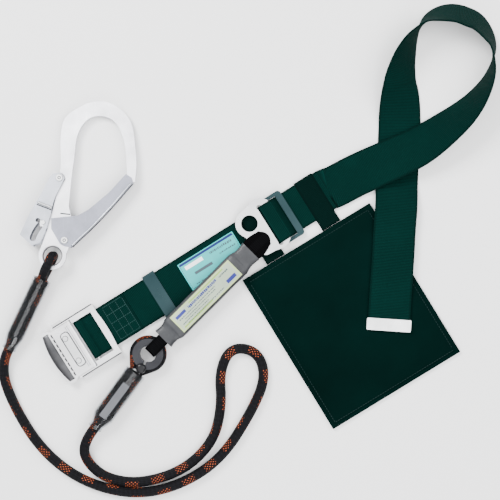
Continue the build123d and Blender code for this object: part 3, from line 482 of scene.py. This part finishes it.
# ------------------------------------------------------------------ belt strap
BELT_W, BELT_T, BELT_V, BELT_Z = 50.0, 2.2, -2.2, 3.0
GREEN = (0.0001, 0.0062, 0.0050)
PALE_GREEN = (0.0002, 0.0240, 0.0192)
belt_cloth = webbing("belt_webbing_cloth", GREEN, PALE_GREEN, 0.0018, 0.0012, 0.025)
FREE_RUN = [
    (99.0, 37.5, 0.0, 1.9), (123.0, 50.0, 0.0, 2.4), (149.0, 62.0, 8.0, 3.4), (174.0, 73.0, 14.0, 3.6),
    (198.0, 85.0, 24.0, 3.6), (224.0, 103.0, 38.0, 2.6), (247.0, 122.0, 52.0, 1.0), (265.0, 143.0, 68.0, 0.6),
    (278.0, 168.0, 85.0, 0.6), (282.0, 195.0, 104.0, 0.6), (277.0, 212.0, 116.0, 0.6),
    (265.0, 228.0, 124.0, 0.6), (252.0, 235.0, 126.0, 0.6), (238.0, 239.0, 124.0, 0.6),
    (223.0, 238.0, 119.0, 0.6), (209.0, 233.0, 108.0, 0.6), (199.0, 225.0, 92.0, 0.6),
    (188.0, 208.0, 72.0, 0.6), (182.0, 194.0, 60.0, 0.6), (178.0, 181.0, 51.0, 0.6),
    (175.0, 163.0, 38.0, 0.4), (175.0, 145.0, 22.0, 0.3), (175.0, 120.0, 5.0, 0.2), (175.0, 104.0, 0.0, 0.2),
    (174.0, 80.0, 0.0, 0.2), (172.0, 45.0, 0.0, 0.3), (170.5, 14.0, 0.0, 8.5), (168.5, -14.0, 0.0, 8.5),
    (166.5, -50.0, 0.0, 8.5), (164.0, -85.0, 0.0, 8.5), (162.0, -120.0, 0.0, 8.5), (161.6, -126.0, 0.0, 8.5),
]


def smooth_between(rows, pieces):
    """Catmull-Rom values between rows of numbers."""
    for index in range(len(rows) - 1):
        a, b = rows[max(index - 1, 0)], rows[index]
        c, d = rows[index + 1], rows[min(index + 2, len(rows) - 1)]
        for step in range(pieces):
            t = step / pieces
            yield [
                0.5 * (2 * q + (r - p) * t + (2 * p - 5 * q + 4 * r - s) * t * t
                       + (3 * q - p - 3 * r + s) * t**3)
                for p, q, r, s in zip(a, b, c, d)
            ]
    yield list(rows[-1])


BUCKLE_U, BAR_Z, WRAP = -230.2, 5.9, 1.5 + 0.3 + BELT_T / 2
BAR_U = BUCKLE_U - 24.0
over_plate = 8.8 + 3.5 + 0.3 + BELT_T / 2
fold_z = BELT_Z + BELT_T + 0.3
side_route = rounded([
    (BUCKLE_U + 39.0, fold_z, 0), (BAR_U + 7.0, fold_z, 0), (BAR_U + 4.0, BAR_Z + WRAP, 0),
    (BAR_U - WRAP, BAR_Z + WRAP, 0), (BAR_U - WRAP, BELT_Z, 0), (0, BELT_Z, 0), (0, over_plate, 0),
    (14.8, over_plate, 0), (21.4, BELT_Z, 0), (80.0, BELT_Z, 0),
], 2.0, 1.0)
stations = [(BELT.at(p.x, BELT_V, p.y), -BELT.y) for p in side_route]
last = stations[-1][0] / MM
free_rows = [(last.x, last.y, 0.0, BELT_Z - BELT_T / 2)] + FREE_RUN
free = list(smooth_between(free_rows, 8))[1:]
for index, (x, y, lean, low) in enumerate(free):
    before = free[max(index - 1, 0)]
    after = free[min(index + 1, len(free) - 1)]
    ahead = Vector((after[0] - before[0], after[1] - before[1], 0)).normalized()
    across = ahead.cross(UP) * cos(radians(lean)) + UP * sin(radians(lean))
    height = low + (BELT_W * sin(radians(lean)) + BELT_T * abs(cos(radians(lean)))) / 2
    stations.append((Vector((x, y, height)) * MM, across))
strap, strap_length = strip("belt_strap", stations, BELT_W * MM, BELT_T * MM, "belt", belt_cloth,
                            ("belt_webbing",))


def closed_runs(corners):
    """Straight runs from each corner to the next, back to the first."""
    return list(zip(corners, corners[1:] + corners[:1]))


def stitches(name, plane, corners, material, body, pitch=3.2, length=2.1, girth=0.38):
    """Row of raised thread stitches along straight runs on a flat face."""
    points, faces, coords = [], [], []
    for (x0, y0, z0), (x1, y1, z1) in corners:
        start, end = plane.at(x0, y0, z0), plane.at(x1, y1, z1)
        way = (end - start).normalized()
        side = way.cross(plane.z)
        for k in range(int((end - start).length / (pitch * MM))):
            middle = start + way * (k + 0.5) * pitch * MM
            base = len(points)
            for share, reach in ((-0.5, 0.35), (-0.35, 1.0), (0.35, 1.0), (0.5, 0.35)):
                for angle in range(6):
                    a = 2 * pi * angle / 6
                    offset = side * cos(a) + plane.z * sin(a) * 0.7
                    points.append(middle + way * share * length * MM + offset * girth * reach * MM)
                    coords.append((angle / 6, share))
            faces += [tuple(base + i for i in face) for face in grid_faces(4, 6)]
    return finish_mesh(name, points, faces, coords, body, material)


thread_green = plastic("thread_green", (0.010, 0.036, 0.034), 0.8)
thread_dark = plastic("thread_dark", (0.001, 0.012, 0.011), 0.8)
top = fold_z + BELT_T / 2
u0, u1 = BUCKLE_U + 10.0, BUCKLE_U + 36.5
fold_lines = [((u0, v, top), (u1, v, top)) for v in (-23.5, -13.0, -2.2, 8.6, 19.2)]
fold_lines += [((u, -24.0, top), (u, 19.6, top)) for u in (u0, u0 + 8.8, u0 + 17.6, u1)]
stitches("fold_stitching", BELT, fold_lines, thread_green, "belt", pitch=2.6, length=2.0)

# ------------------------------------------------------------------ absorber webbing loops
black_cloth = webbing("black_webbing_cloth", (0.0004, 0.0004, 0.0005), (0.0035, 0.0035, 0.0042),
                      0.0021, 0.0019, 0.0075)
WEB_T, LOOP_W, COVER_Z = 2.4, 15.0, 13.7
ring_reach_up = RING_HUB_HALF + RING_FLANGE_T + SOFT_GAP
ring_top, ring_low, RING_LOOP_X = RING_Z + ring_reach_up, RING_Z - ring_reach_up, 4.9
half = WEB_T / 2
lower_route = rounded([
    (45.0, COVER_Z + 1.3, 0), (30.0, COVER_Z + 1.3, 0), (22.0, ring_top + half, 0),
    (RING_LOOP_X - half, ring_top + half, 0), (RING_LOOP_X - half, ring_low - half, 0),
    (22.0, ring_low - half, 0),
    (30.0, COVER_Z - 1.3, 0), (45.0, COVER_Z - 1.3, 0),
], 2.4, 1.0)
strip("ring_web_loop", [(ABSORBER.at(p.x, 0, p.y), ABSORBER.y) for p in lower_route], LOOP_W * MM,
      WEB_T * MM, "belt", black_cloth, ("lower_loop",))
plate_top, plate_low, PLATE_LOOP_X = PLATE_Z + PLATE_T + SOFT_GAP, PLATE_Z - SOFT_GAP, 190.5
upper_route = rounded([
    (155.0, COVER_Z + 1.3, 0), (171.0, COVER_Z + 1.3, 0), (177.5, plate_top + half, 0),
    (PLATE_LOOP_X + half, plate_top + half, 0), (PLATE_LOOP_X + half, plate_low - half, 0),
    (178.0, plate_low - half, 0),
    (171.0, COVER_Z - 1.3, 0), (155.0, COVER_Z - 1.3, 0),
], 2.0, 1.0)
strip("plate_web_loop", [(ABSORBER.at(p.x, 0, p.y), ABSORBER.y) for p in upper_route], LOOP_W * MM,
      WEB_T * MM, "belt", black_cloth, ("upper_loop",))

# ------------------------------------------------------------------ absorber cover: soft vinyl sleeve
vinyl = Look("grey_vinyl", Coat_Weight=0.03)
vinyl.shader.inputs["Specular IOR Level"].default_value = 0.25
cloud = vinyl.noise(30, 4)
crease = vinyl.noise(90, 5, 0.6, (1, 0.3, 1, -45))
vinyl.colour(vinyl.mix(vinyl.span(cloud, 0.3, 0.75), (0.020, 0.021, 0.024), (0.045, 0.047, 0.051)))
vinyl.rough(vinyl.span(cloud, 0.3, 0.7, 0.34, 0.52))
vinyl.bump(crease, 0.0006)
vinyl.bump(vinyl.noise(1600, 2), 0.00003)
COVER_ROWS = [
    (25.5, 27.4, 13.2), (26.5, 27.2, 13.0), (31.0, 25.6, 11.6), (36.0, 25.8, 11.4), (40.0, 28.2, 12.6),
    (43.0, 30.4, 14.4), (50.0, 31.0, 15.0), (70.0, 30.6, 14.8), (96.0, 30.9, 15.0), (124.0, 30.6, 14.8),
    (143.0, 31.0, 15.0), (150.0, 30.4, 14.2), (153.5, 28.4, 12.2), (157.0, 26.6, 10.8), (161.0, 26.2, 10.4),
    (166.0, 27.0, 10.2), (170.0, 28.0, 10.2), (171.0, 28.2, 10.2),
]
COVER_SIDES = 48
points, coords, travelled = [], [], 0.0
cover_rows = list(smooth_between(COVER_ROWS, 6))
for x, width, height in cover_rows:
    for step in range(COVER_SIDES):
        angle = 2 * pi * step / COVER_SIDES
        c, s = cos(angle), sin(angle)
        y = abs(c) ** 0.55 * (1 if c >= 0 else -1) * width / 2
        z = abs(s) ** 0.62 * (1 if s >= 0 else -1) * height / 2
        wrinkle = 0.12 * sin(x * 1.9 + step * 0.4) + 0.10 * sin(x * 0.77 - step * 0.9)
        shrink = 1 - (0.14 + wrinkle * 0.5) / height
        points.append(ABSORBER.at(x, y * shrink, COVER_Z + z * shrink))
        coords.append((step / COVER_SIDES, x * MM))
finish_mesh("absorber_sleeve_skin", points, grid_faces(len(cover_rows), COVER_SIDES, caps=False),
            coords, "belt", vinyl.material, ("absorber_cover",))

# padded tongue sewn over the loop that holds the connector plate
TONGUE = [
    (166.0, 12.4), (171.0, 13.2), (175.0, 13.8), (179.0, 13.8), (183.0, 13.2), (187.0, 12.2), (190.5, 11.0),
    (193.5, 9.4), (196.0, 7.2), (197.8, 4.4), (198.7, 1.6),
]
TONGUE_LOW, TONGUE_T, TONGUE_SIDES = plate_top + 0.1, 3.0, 20
tongue_rows = list(smooth_between(TONGUE, 4))
points, coords = [], []
for x, reach in tongue_rows:
    full = TONGUE_T * min(1.0, 0.35 + (199.2 - x) / 5.0)
    for step in range(TONGUE_SIDES):
        angle = 2 * pi * step / TONGUE_SIDES
        c, s = cos(angle), sin(angle)
        y = abs(c) ** 0.7 * (1 if c >= 0 else -1) * reach
        z = abs(s) ** 0.5 * (1 if s >= 0 else -1) * full / 2
        points.append(ABSORBER.at(x, y, TONGUE_LOW + full / 2 + z))
        coords.append((y * MM, x * MM))
finish_mesh("plate_loop_tongue", points, grid_faces(len(tongue_rows), TONGUE_SIDES), coords, "belt",
            black_cloth)

# ------------------------------------------------------------------ pouch: flat soft bag
pouch_cloth = Look("pouch_coated_cloth")
pouch_cloth.shader.inputs["Specular IOR Level"].default_value = 0.01
cloud = pouch_cloth.noise(9, 4)
weave_x = pouch_cloth.noise(1500, 2)
fold = pouch_cloth.noise(22, 4, 0.5, (1, 0.5, 1, 30))
cloud = pouch_cloth.span(cloud, 0.3, 0.75)
pouch_cloth.colour(pouch_cloth.mix(cloud, (0.0001, 0.0042, 0.0034), (0.0001, 0.0075, 0.0062)))
pouch_cloth.rough(pouch_cloth.span(weave_x, 0.2, 0.8, 0.55, 0.72))
pouch_cloth.bump(fold, 0.0016, 0.7)
pouch_cloth.bump(weave_x, 0.00008)
POUCH_W, POUCH_H = 176.0, 206.0
ACROSS, DOWN = 72, 84


def pouch_height(x, y):
    """Height of the bag's top skin: hem at the rim, a sewn channel, then a soft crown."""
    edge = min(x, POUCH_W - x, y, POUCH_H - y)
    crown = min(1.0, max(0.0, (edge - 4.0) / 14.0))
    swell = 3.0 * crown ** 0.5 * (0.88 + 0.12 * sin(x / 31.0) * cos(y / 37.0))
    ripple = 0.22 * sin(x / 9.0 + y / 23.0) * crown + 0.18 * sin(y / 7.0 - x / 30.0) * crown
    channel = -0.5 if 3.4 < edge < 4.6 else 0.0
    return 4.2 + swell + ripple + channel - (1.4 if edge < 0.01 else 0)


points, coords = [], []
for row in range(DOWN + 1):
    for column in range(ACROSS + 1):
        x = POUCH_W / 2 - POUCH_W / 2 * cos(pi * column / ACROSS)
        y = POUCH_H / 2 - POUCH_H / 2 * cos(pi * row / DOWN)
        points.append(POUCH.at(x, -y, pouch_height(x, y)))
        coords.append((x * MM, y * MM))
faces = [tuple(reversed(face)) for face in grid_faces(DOWN + 1, ACROSS + 1, closed=False, caps=False)]
top_count = len(points)
rim = list(range(ACROSS + 1))
rim += [row * (ACROSS + 1) + ACROSS for row in range(1, DOWN + 1)]
rim += [DOWN * (ACROSS + 1) + column for column in range(ACROSS - 1, -1, -1)]
rim += [row * (ACROSS + 1) for row in range(DOWN - 1, 0, -1)]
for index in rim:
    spot = points[index].copy()
    spot.z = 0.5 * MM
    points.append(spot)
    coords.append(coords[index])
for step in range(len(rim)):
    after = (step + 1) % len(rim)
    faces.append((rim[after], rim[step], top_count + step, top_count + after))
faces.append(tuple(top_count + step for step in range(len(rim))))
finish_mesh("pouch_bag", points, faces, coords, "pouch", pouch_cloth.material,
            ("pouch_front", "pouch_back", "pouch_hem"))
HEM_INSET, HEM_Z = 6.2, 5.6
near, far, foot = HEM_INSET, POUCH_W - HEM_INSET, HEM_INSET - POUCH_H
hem = [(near, -HEM_INSET, HEM_Z), (far, -HEM_INSET, HEM_Z), (far, foot, HEM_Z), (near, foot, HEM_Z)]
stitches("pouch_stitching", POUCH, closed_runs(hem), thread_dark, "pouch",
         pitch=3.4, length=2.4, girth=0.35)

# pouch belt loops: bands round the belt whose tails are sewn to the bag
loop_cloth = webbing("pouch_loop_cloth", (0.0001, 0.0045, 0.0036), (0.0001, 0.0085, 0.0070),
                     0.0018, 0.0018, 0.0122)
BAND_W, BAND_T = 24.4, 1.1
for name, at_u, end_v in (("pouch_loop_left", -15.4, -40.6), ("pouch_loop_right", 61.6, -41.4)):
    band = rounded([
        (end_v, 4.9, 0), (-27.5, 4.9, 0), (23.6, 4.9, 0), (23.6, 1.1, 0), (-27.5, 1.1, 0), (end_v, 1.1, 0),
    ], 1.4, 1.0)
    strip(name + "_band", [(BELT.at(at_u, p.x, p.y), BELT.x) for p in band], BAND_W * MM,
          BAND_T * MM, "pouch", loop_cloth, (name,))

# ------------------------------------------------------------------ looks of the CAD pieces that stay
LOOKS = {
    "hook_metal": metal("hook_metal_look", (0.76, 0.765, 0.80), 0.30),
    "gate_steel": metal("gate_steel_look", (0.42, 0.44, 0.49), 0.26, (1, 0.15, 1, 40), 0.70),
    "rivet_steel": metal("rivet_steel_look", (0.72, 0.73, 0.74), 0.25),
    "spring_steel": metal("spring_steel_look", (0.40, 0.40, 0.42), 0.35),
    "plate_steel": metal("plate_steel_look", (0.66, 0.67, 0.68), 0.22, dark=0.8),
    "buckle_steel": metal("buckle_steel_look", (0.72, 0.72, 0.73), 0.24, (0.12, 1, 1, -32), 0.85),
    "tip_metal": metal("tip_metal_look", (0.86, 0.87, 0.87), 0.28),
    "thimble_plastic": plastic("thimble_look", (0.012, 0.0125, 0.016), 0.40, coat=0.06),
    "teal_plastic": plastic("teal_plastic_look", (0.0015, 0.019, 0.023), 0.42, coat=0.0),
    "webbing_black": plastic("tear_pack_look", (0.01, 0.01, 0.01), 0.85),
    "absorber_vinyl": vinyl.material,
    "label_yellow": plastic("label_yellow_look", (0.34, 0.42, 0.20), 0.38, coat=0.04),
    "label_silver": plastic("label_silver_look", (0.085, 0.088, 0.098), 0.35, coat=0.05),
    "label_cyan": plastic("label_cyan_look", (0.03, 0.36, 0.36), 0.45, coat=0.0),
}
clear = Look("clear_sleeve_look")
clear.shader.inputs["Transmission Weight"].default_value = 1.0
clear.shader.inputs["IOR"].default_value = 1.04
clear.shader.inputs["Coat Weight"].default_value = 0.7
clear.shader.inputs["Coat Roughness"].default_value = 0.12
haze = clear.noise(45, 4)
clear.colour(clear.mix(clear.span(haze, 0.3, 0.7), (0.70, 0.72, 0.75), (0.55, 0.57, 0.60)))
clear.rough(clear.span(haze, 0.3, 0.75, 0.0, 0.03))
clear.bump(clear.noise(60, 2), 0.00025)
LOOKS["clear_pvc"] = clear.material
LOOKS["rope_fabric"] = rope_look.material
LOOKS["webbing_green"] = belt_cloth
LOOKS["pouch_vinyl"] = pouch_cloth.material
SHARP = {"hook_body", "hook_gate", "lock_lever", "buckle_frame", "cam_lever", "connector_plate",
         "plate_slider", "lever_plate", "lever_rivets", "belt_tip", "belt_keeper", "ring_thimble"}
BROAD_EDGES = {"hook_body", "connector_plate", "buckle_frame"}
for part in frame["record"]["subparts"]:
    node = frame["nodes"][part["node"]]
    node.data.materials.clear()
    node.data.materials.append(LOOKS[part["material_slot"]])
    if part["node"] == "hook_gate":
        node.data.materials[0] = metal("gate_pressed_look", (0.25, 0.26, 0.31), 0.26, (1, 0.15, 1, 40), 0.7)
    if part["node"] == "ring_button":
        node.data.materials[0] = plastic("button_gloss", (0.002, 0.002, 0.003), 0.14, coat=0.08)
        dome = node.modifiers.new("dome", "BEVEL")
        dome.width = 0.0024
        dome.segments = 6
    if part["node"] in SHARP:
        bevel = node.modifiers.new("soft_edges", "BEVEL")
        bevel.width = 0.0009 if part["node"] in BROAD_EDGES else 0.0003
        bevel.segments = 3
        bevel.limit_method = "ANGLE"
        bevel.angle_limit = radians(40)


# ------------------------------------------------------------------ printed marks, generic bars only
def prints(name, place, rects, height, material, body, lift=0.06):
    """Thin printed rectangles (x, y, wide, tall) on a flat face."""
    points, faces, coords = [], [], []
    for x, y, wide, tall in rects:
        base = len(points)
        for z in (height, height + lift):
            for a, b in ((-1, -1), (1, -1), (1, 1), (-1, 1)):
                points.append(place.at(x + a * wide / 2, y + b * tall / 2, z))
                coords.append((a * wide * MM, b * tall * MM))
        faces += [(base + 4, base + 5, base + 6, base + 7), (base + 3, base + 2, base + 1, base)]
        faces += [(base + k, base + (k + 1) % 4, base + 4 + (k + 1) % 4, base + 4 + k) for k in range(4)]
    return finish_mesh(name, points, faces, coords, body, material, smooth=False)


def text_like(x0, y0, run, tall, seed, gap=0.7):
    """Row of unreadable bars that stands in for small print."""
    chooser = random.Random(seed)
    x, bars = x0, []
    while x < x0 + run:
        wide = chooser.uniform(0.6, 2.2)
        bars.append((x + wide / 2, y0 + chooser.uniform(-0.12, 0.12) * tall, wide, tall))
        x += wide + gap * chooser.uniform(0.6, 1.4)
    return bars


navy = plastic("ink_navy", (0.008, 0.012, 0.10), 0.5)
grey_ink = plastic("ink_grey", (0.05, 0.07, 0.085), 0.5)
white_ink = plastic("ink_white", (0.85, 0.85, 0.88), 0.5)
label_x, label_y, label_top = -80.0, -2.2, BELT_Z + BELT_T / 2 + 0.4
prints("belt_label_header", BELT, [(label_x, label_y + 15.0, 73.0, 2.6)], label_top, navy,
       "belt")
prints("belt_label_panel", BELT, [(label_x - 20.0, label_y + 9.0, 24.0, 4.6)], label_top, white_ink,
       "belt")
small = text_like(label_x + 2.0, label_y + 9.4, 30.0, 2.6, 3)
small += text_like(label_x + 12.0, label_y + 3.0, 20.0, 1.6, 4)
small += text_like(label_x - 30.0, label_y - 13.4, 50.0, 1.3, 5)
prints("belt_label_print", BELT, small, label_top, grey_ink, "belt")
prints("belt_label_mark", BELT, [(label_x - 13.0, label_y - 1.8, 24.0, 3.4)], label_top, grey_ink,
       "belt")
half_w, half_h = 36.6, 16.2
corners = [(label_x + a * half_w, label_y + b * half_h, label_top)
           for a, b in ((-1, -1), (1, -1), (1, 1), (-1, 1))]
stitches("belt_label_stitching", BELT, closed_runs(corners), thread_dark, "belt",
         pitch=2.4, length=1.6, girth=0.25)

tag_x, tag_top = 96.5, COVER_Z + 7.5 + 0.3
prints("absorber_label_panel", ABSORBER, [(tag_x, 0, 92.0, 20.6)], tag_top,
       plastic("label_pale", (0.30, 0.36, 0.27), 0.36, coat=0.04), "belt", 0.03)
blue_ink = plastic("ink_blue", (0.02, 0.025, 0.16), 0.5)
prints("absorber_label_marks", ABSORBER,
       [(tag_x - 36.0, 5.6, 15.0, 3.6), (tag_x + 36.0, -6.0, 14.0, 4.4)]
       + text_like(tag_x - 24.0, 5.4, 44.0, 3.0, 8, 0.5),
       tag_top + 0.04, blue_ink, "belt")
fine = []
for k, y in enumerate((1.2, -1.8, -4.8, -7.8)):
    fine += text_like(tag_x - 42.0 + 6 * (k % 2), y, 58.0 - 9 * (k % 3), 1.1, 20 + k)
fine += text_like(tag_x + 26.0, 5.0, 14.0, 1.6, 31)
prints("absorber_label_print", ABSORBER, fine, tag_top + 0.04, grey_ink, "belt")
tint_bars = [(tag_x - 20.0, -8.6, 46.0, 1.6), (tag_x + 8.0, 8.9, 56.0, 1.5)]
prints("absorber_label_tint", ABSORBER, tint_bars, tag_top + 0.035,
       plastic("ink_lime", (0.22, 0.36, 0.05), 0.45), "belt")

# ------------------------------------------------------------------ pressed and riveted details, with painted shade in their holes, gaps and edges
# near-black metal standing for shade: every hole, slit, gap and edge line drawn with it is painted shade
painted_shade_metal = metal("painted_shade_recess", (0.035, 0.035, 0.04), 0.5)
bright = LOOKS["rivet_steel"]
gate_steel = LOOKS["gate_steel"]


def ring_of(name, place, x, y, z, reach, girth, material, body):
    angles = [2 * pi * k / 28 for k in range(29)]
    path = [place.at(x + reach * cos(angle), y + reach * sin(angle), z) for angle in angles]
    tube(name, path, girth * MM, body, material, sides=8)


def straight(place, start, end, z, steps):
    """Evenly spaced points on a straight line across a flat face."""
    (x0, y0), (x1, y1) = start, end
    return [place.at(x0 + (x1 - x0) * k / steps, y0 + (y1 - y0) * k / steps, z) for k in range(steps + 1)]


GATE_OUT = HOOK_T / 2 + SHEET_GAP + SHEET_T
LEVER_OUT = GATE_OUT + LEVER_GAP + SHEET_T
HEAD_RISE = 1.45
# a dark ring on each rivet head: painted shade in the eyelet hole
for name, x, y, z in (("gate_rivet_eye", 12.2, 19.4, GATE_OUT + HEAD_RISE),
                      ("lock_rivet_eye", -1.7, 91.6, LEVER_OUT + HEAD_RISE)):
    ring_of(name, HOOK, x, y, z, 1.5, 0.5, painted_shade_metal, "hook")
step_path = straight(HOOK, (-23.4, 60.4), (-6.4, 55.8), LEVER_OUT, 10)
tube("lock_lever_step", step_path, 1.5 * MM, "lock", bright, sides=16)
step_low = straight(HOOK, (-24.2, 57.8), (-6.6, 53.1), LEVER_OUT, 10)
tube("lock_lever_step_shadow", step_low, 0.7 * MM, "lock", painted_shade_metal, sides=10)
ridge = [(21.4, 13.6), (30.0, 24.0), (39.0, 34.4), (50.0, 48.2), (62.0, 64.4), (73.0, 80.4), (82.6, 94.6)]
ridge = list(smooth_between(ridge, 6))
ridge_path = [HOOK.at(x, y, GATE_OUT) for x, y in ridge]
tube("gate_ridge", ridge_path, 1.0 * MM, "gate", gate_steel, sides=12)
# a dark line along the ridge's lower side: painted shade
ridge_shade_path = [HOOK.at(x + 1.6, y - 1.2, GATE_OUT - 0.5) for x, y in ridge]
tube("gate_ridge_shade_line", ridge_shade_path, 0.6 * MM, "gate", painted_shade_metal, sides=8)
# the stop slit is a flat dark bar: painted shade of the slit
prints("hook_stop_slit", HOOK, [(9.6, 50.4, 12.0, 1.5)], HOOK_T / 2, painted_shade_metal, "hook", 0.08)


BUCKLE = Place(tuple(BELT.at(BUCKLE_U, -3.4, 0) / MM), 212.0)
buckle_at = BUCKLE.at
LEVER_LOW, LEVER_T = 8.7, 2.0
lever_top = LEVER_LOW + LEVER_T
handle_top = lever_top + SHEET_T
# the brushing is real; the dark tone of the concave grip is painted shade
grip_shade_brushed = metal("handle_grip_painted_shade", (0.095, 0.095, 0.10), 0.30, (1, 0.1, 1, 32), 0.5)
points, coords, faces = [], [], []
for k in range(25):
    share = -1 + 2 * k / 24
    y = 30.6 * share
    outer = 71.4 - 4.6 * share * share
    inner = 59.8
    for x, lift in ((inner, -0.1), (inner + 0.6, 0.3), (outer - 0.6, 0.3), (outer, -0.1)):
        z = handle_top + lift
        points.append(buckle_at(x, y, z))
        coords.append((x * MM, y * MM))
finish_mesh("handle_inset", points, grid_faces(25, 4), coords, "buckle_lever", grip_shade_brushed)
# dark bars between the lever's teeth and along its edge: painted shade
teeth = [(57.4, -25.5 + 6.4 * k, 1.5, 4.4) for k in range(9)] + [(56.7, 0.0, 0.6, 56.0)]
prints("lever_serration", BUCKLE, teeth, lever_top, painted_shade_metal, "buckle_lever", 0.12)
for k, x in enumerate((36.0, 38.2)):
    line = straight(BUCKLE, (x, -27.0), (x, 27.0), lever_top, 12)
    tube(f"lever_line_{k + 1}", line, 0.35 * MM, "buckle_lever", gate_steel, sides=8)
# a dark line round the lever plate's edge: painted shade
outline = [(39.0, -20.5), (38.4, -18.0), (38.4, 18.0), (39.0, 20.5), (41.0, 22.0), (46.0, 22.0),
           (48.2, 20.5), (48.9, 18.0), (48.9, -18.0), (48.2, -20.5), (46.0, -22.0), (41.0, -22.0),
           (39.0, -20.5)]
plate_shade_path = [buckle_at(x, y, lever_top + 0.75) for x, y in outline]
tube("lever_plate_shade_line", plate_shade_path, 0.62 * MM, "buckle_lever", painted_shade_metal, sides=8)
# dark rings round the lever rivets: painted shade
for k, y in enumerate((15.0, -15.0)):
    ring_of(f"lever_rivet_shade_ring_{k + 1}", BUCKLE, 45.0, y, lever_top + 1.1, 3.0, 0.55, painted_shade_metal,
            "buckle_lever")
# dark lines along the buckle's side walls: painted shadow
WALL_TOP = 9.6
for k, side in enumerate((-1, 1)):
    wall = straight(BUCKLE, (-2.5, side * 33.5), (51.5, side * 33.5), WALL_TOP, 8)
    tube(f"buckle_wall_shadow_line_{k + 1}", wall, 0.85 * MM, "belt", painted_shade_metal, sides=8)
prints("keeper_emboss", BELT, [(-153.5, -2.0 + 5.0 * k, 3.4, 2.2) for k in (-2, -1, 0, 1)], 5.8,
       LOOKS["teal_plastic"], "keeper", 0.35)

# ------------------------------------------------------------------ floor
floor_mesh = bpy.data.meshes.new("floor")
floor_mesh.from_pydata([(-3, -3, 0), (3, -3, 0), (3, 3, 0), (-3, 3, 0)], [], [(0, 1, 2, 3)])
floor = bpy.data.objects.new("floor", floor_mesh)
floor_look = Look("pale_floor")
floor_look.colour((0.93, 0.93, 0.93))
floor_look.rough(0.6)
floor_mesh.materials.append(floor_look.material)
bpy.context.scene.collection.objects.link(floor)
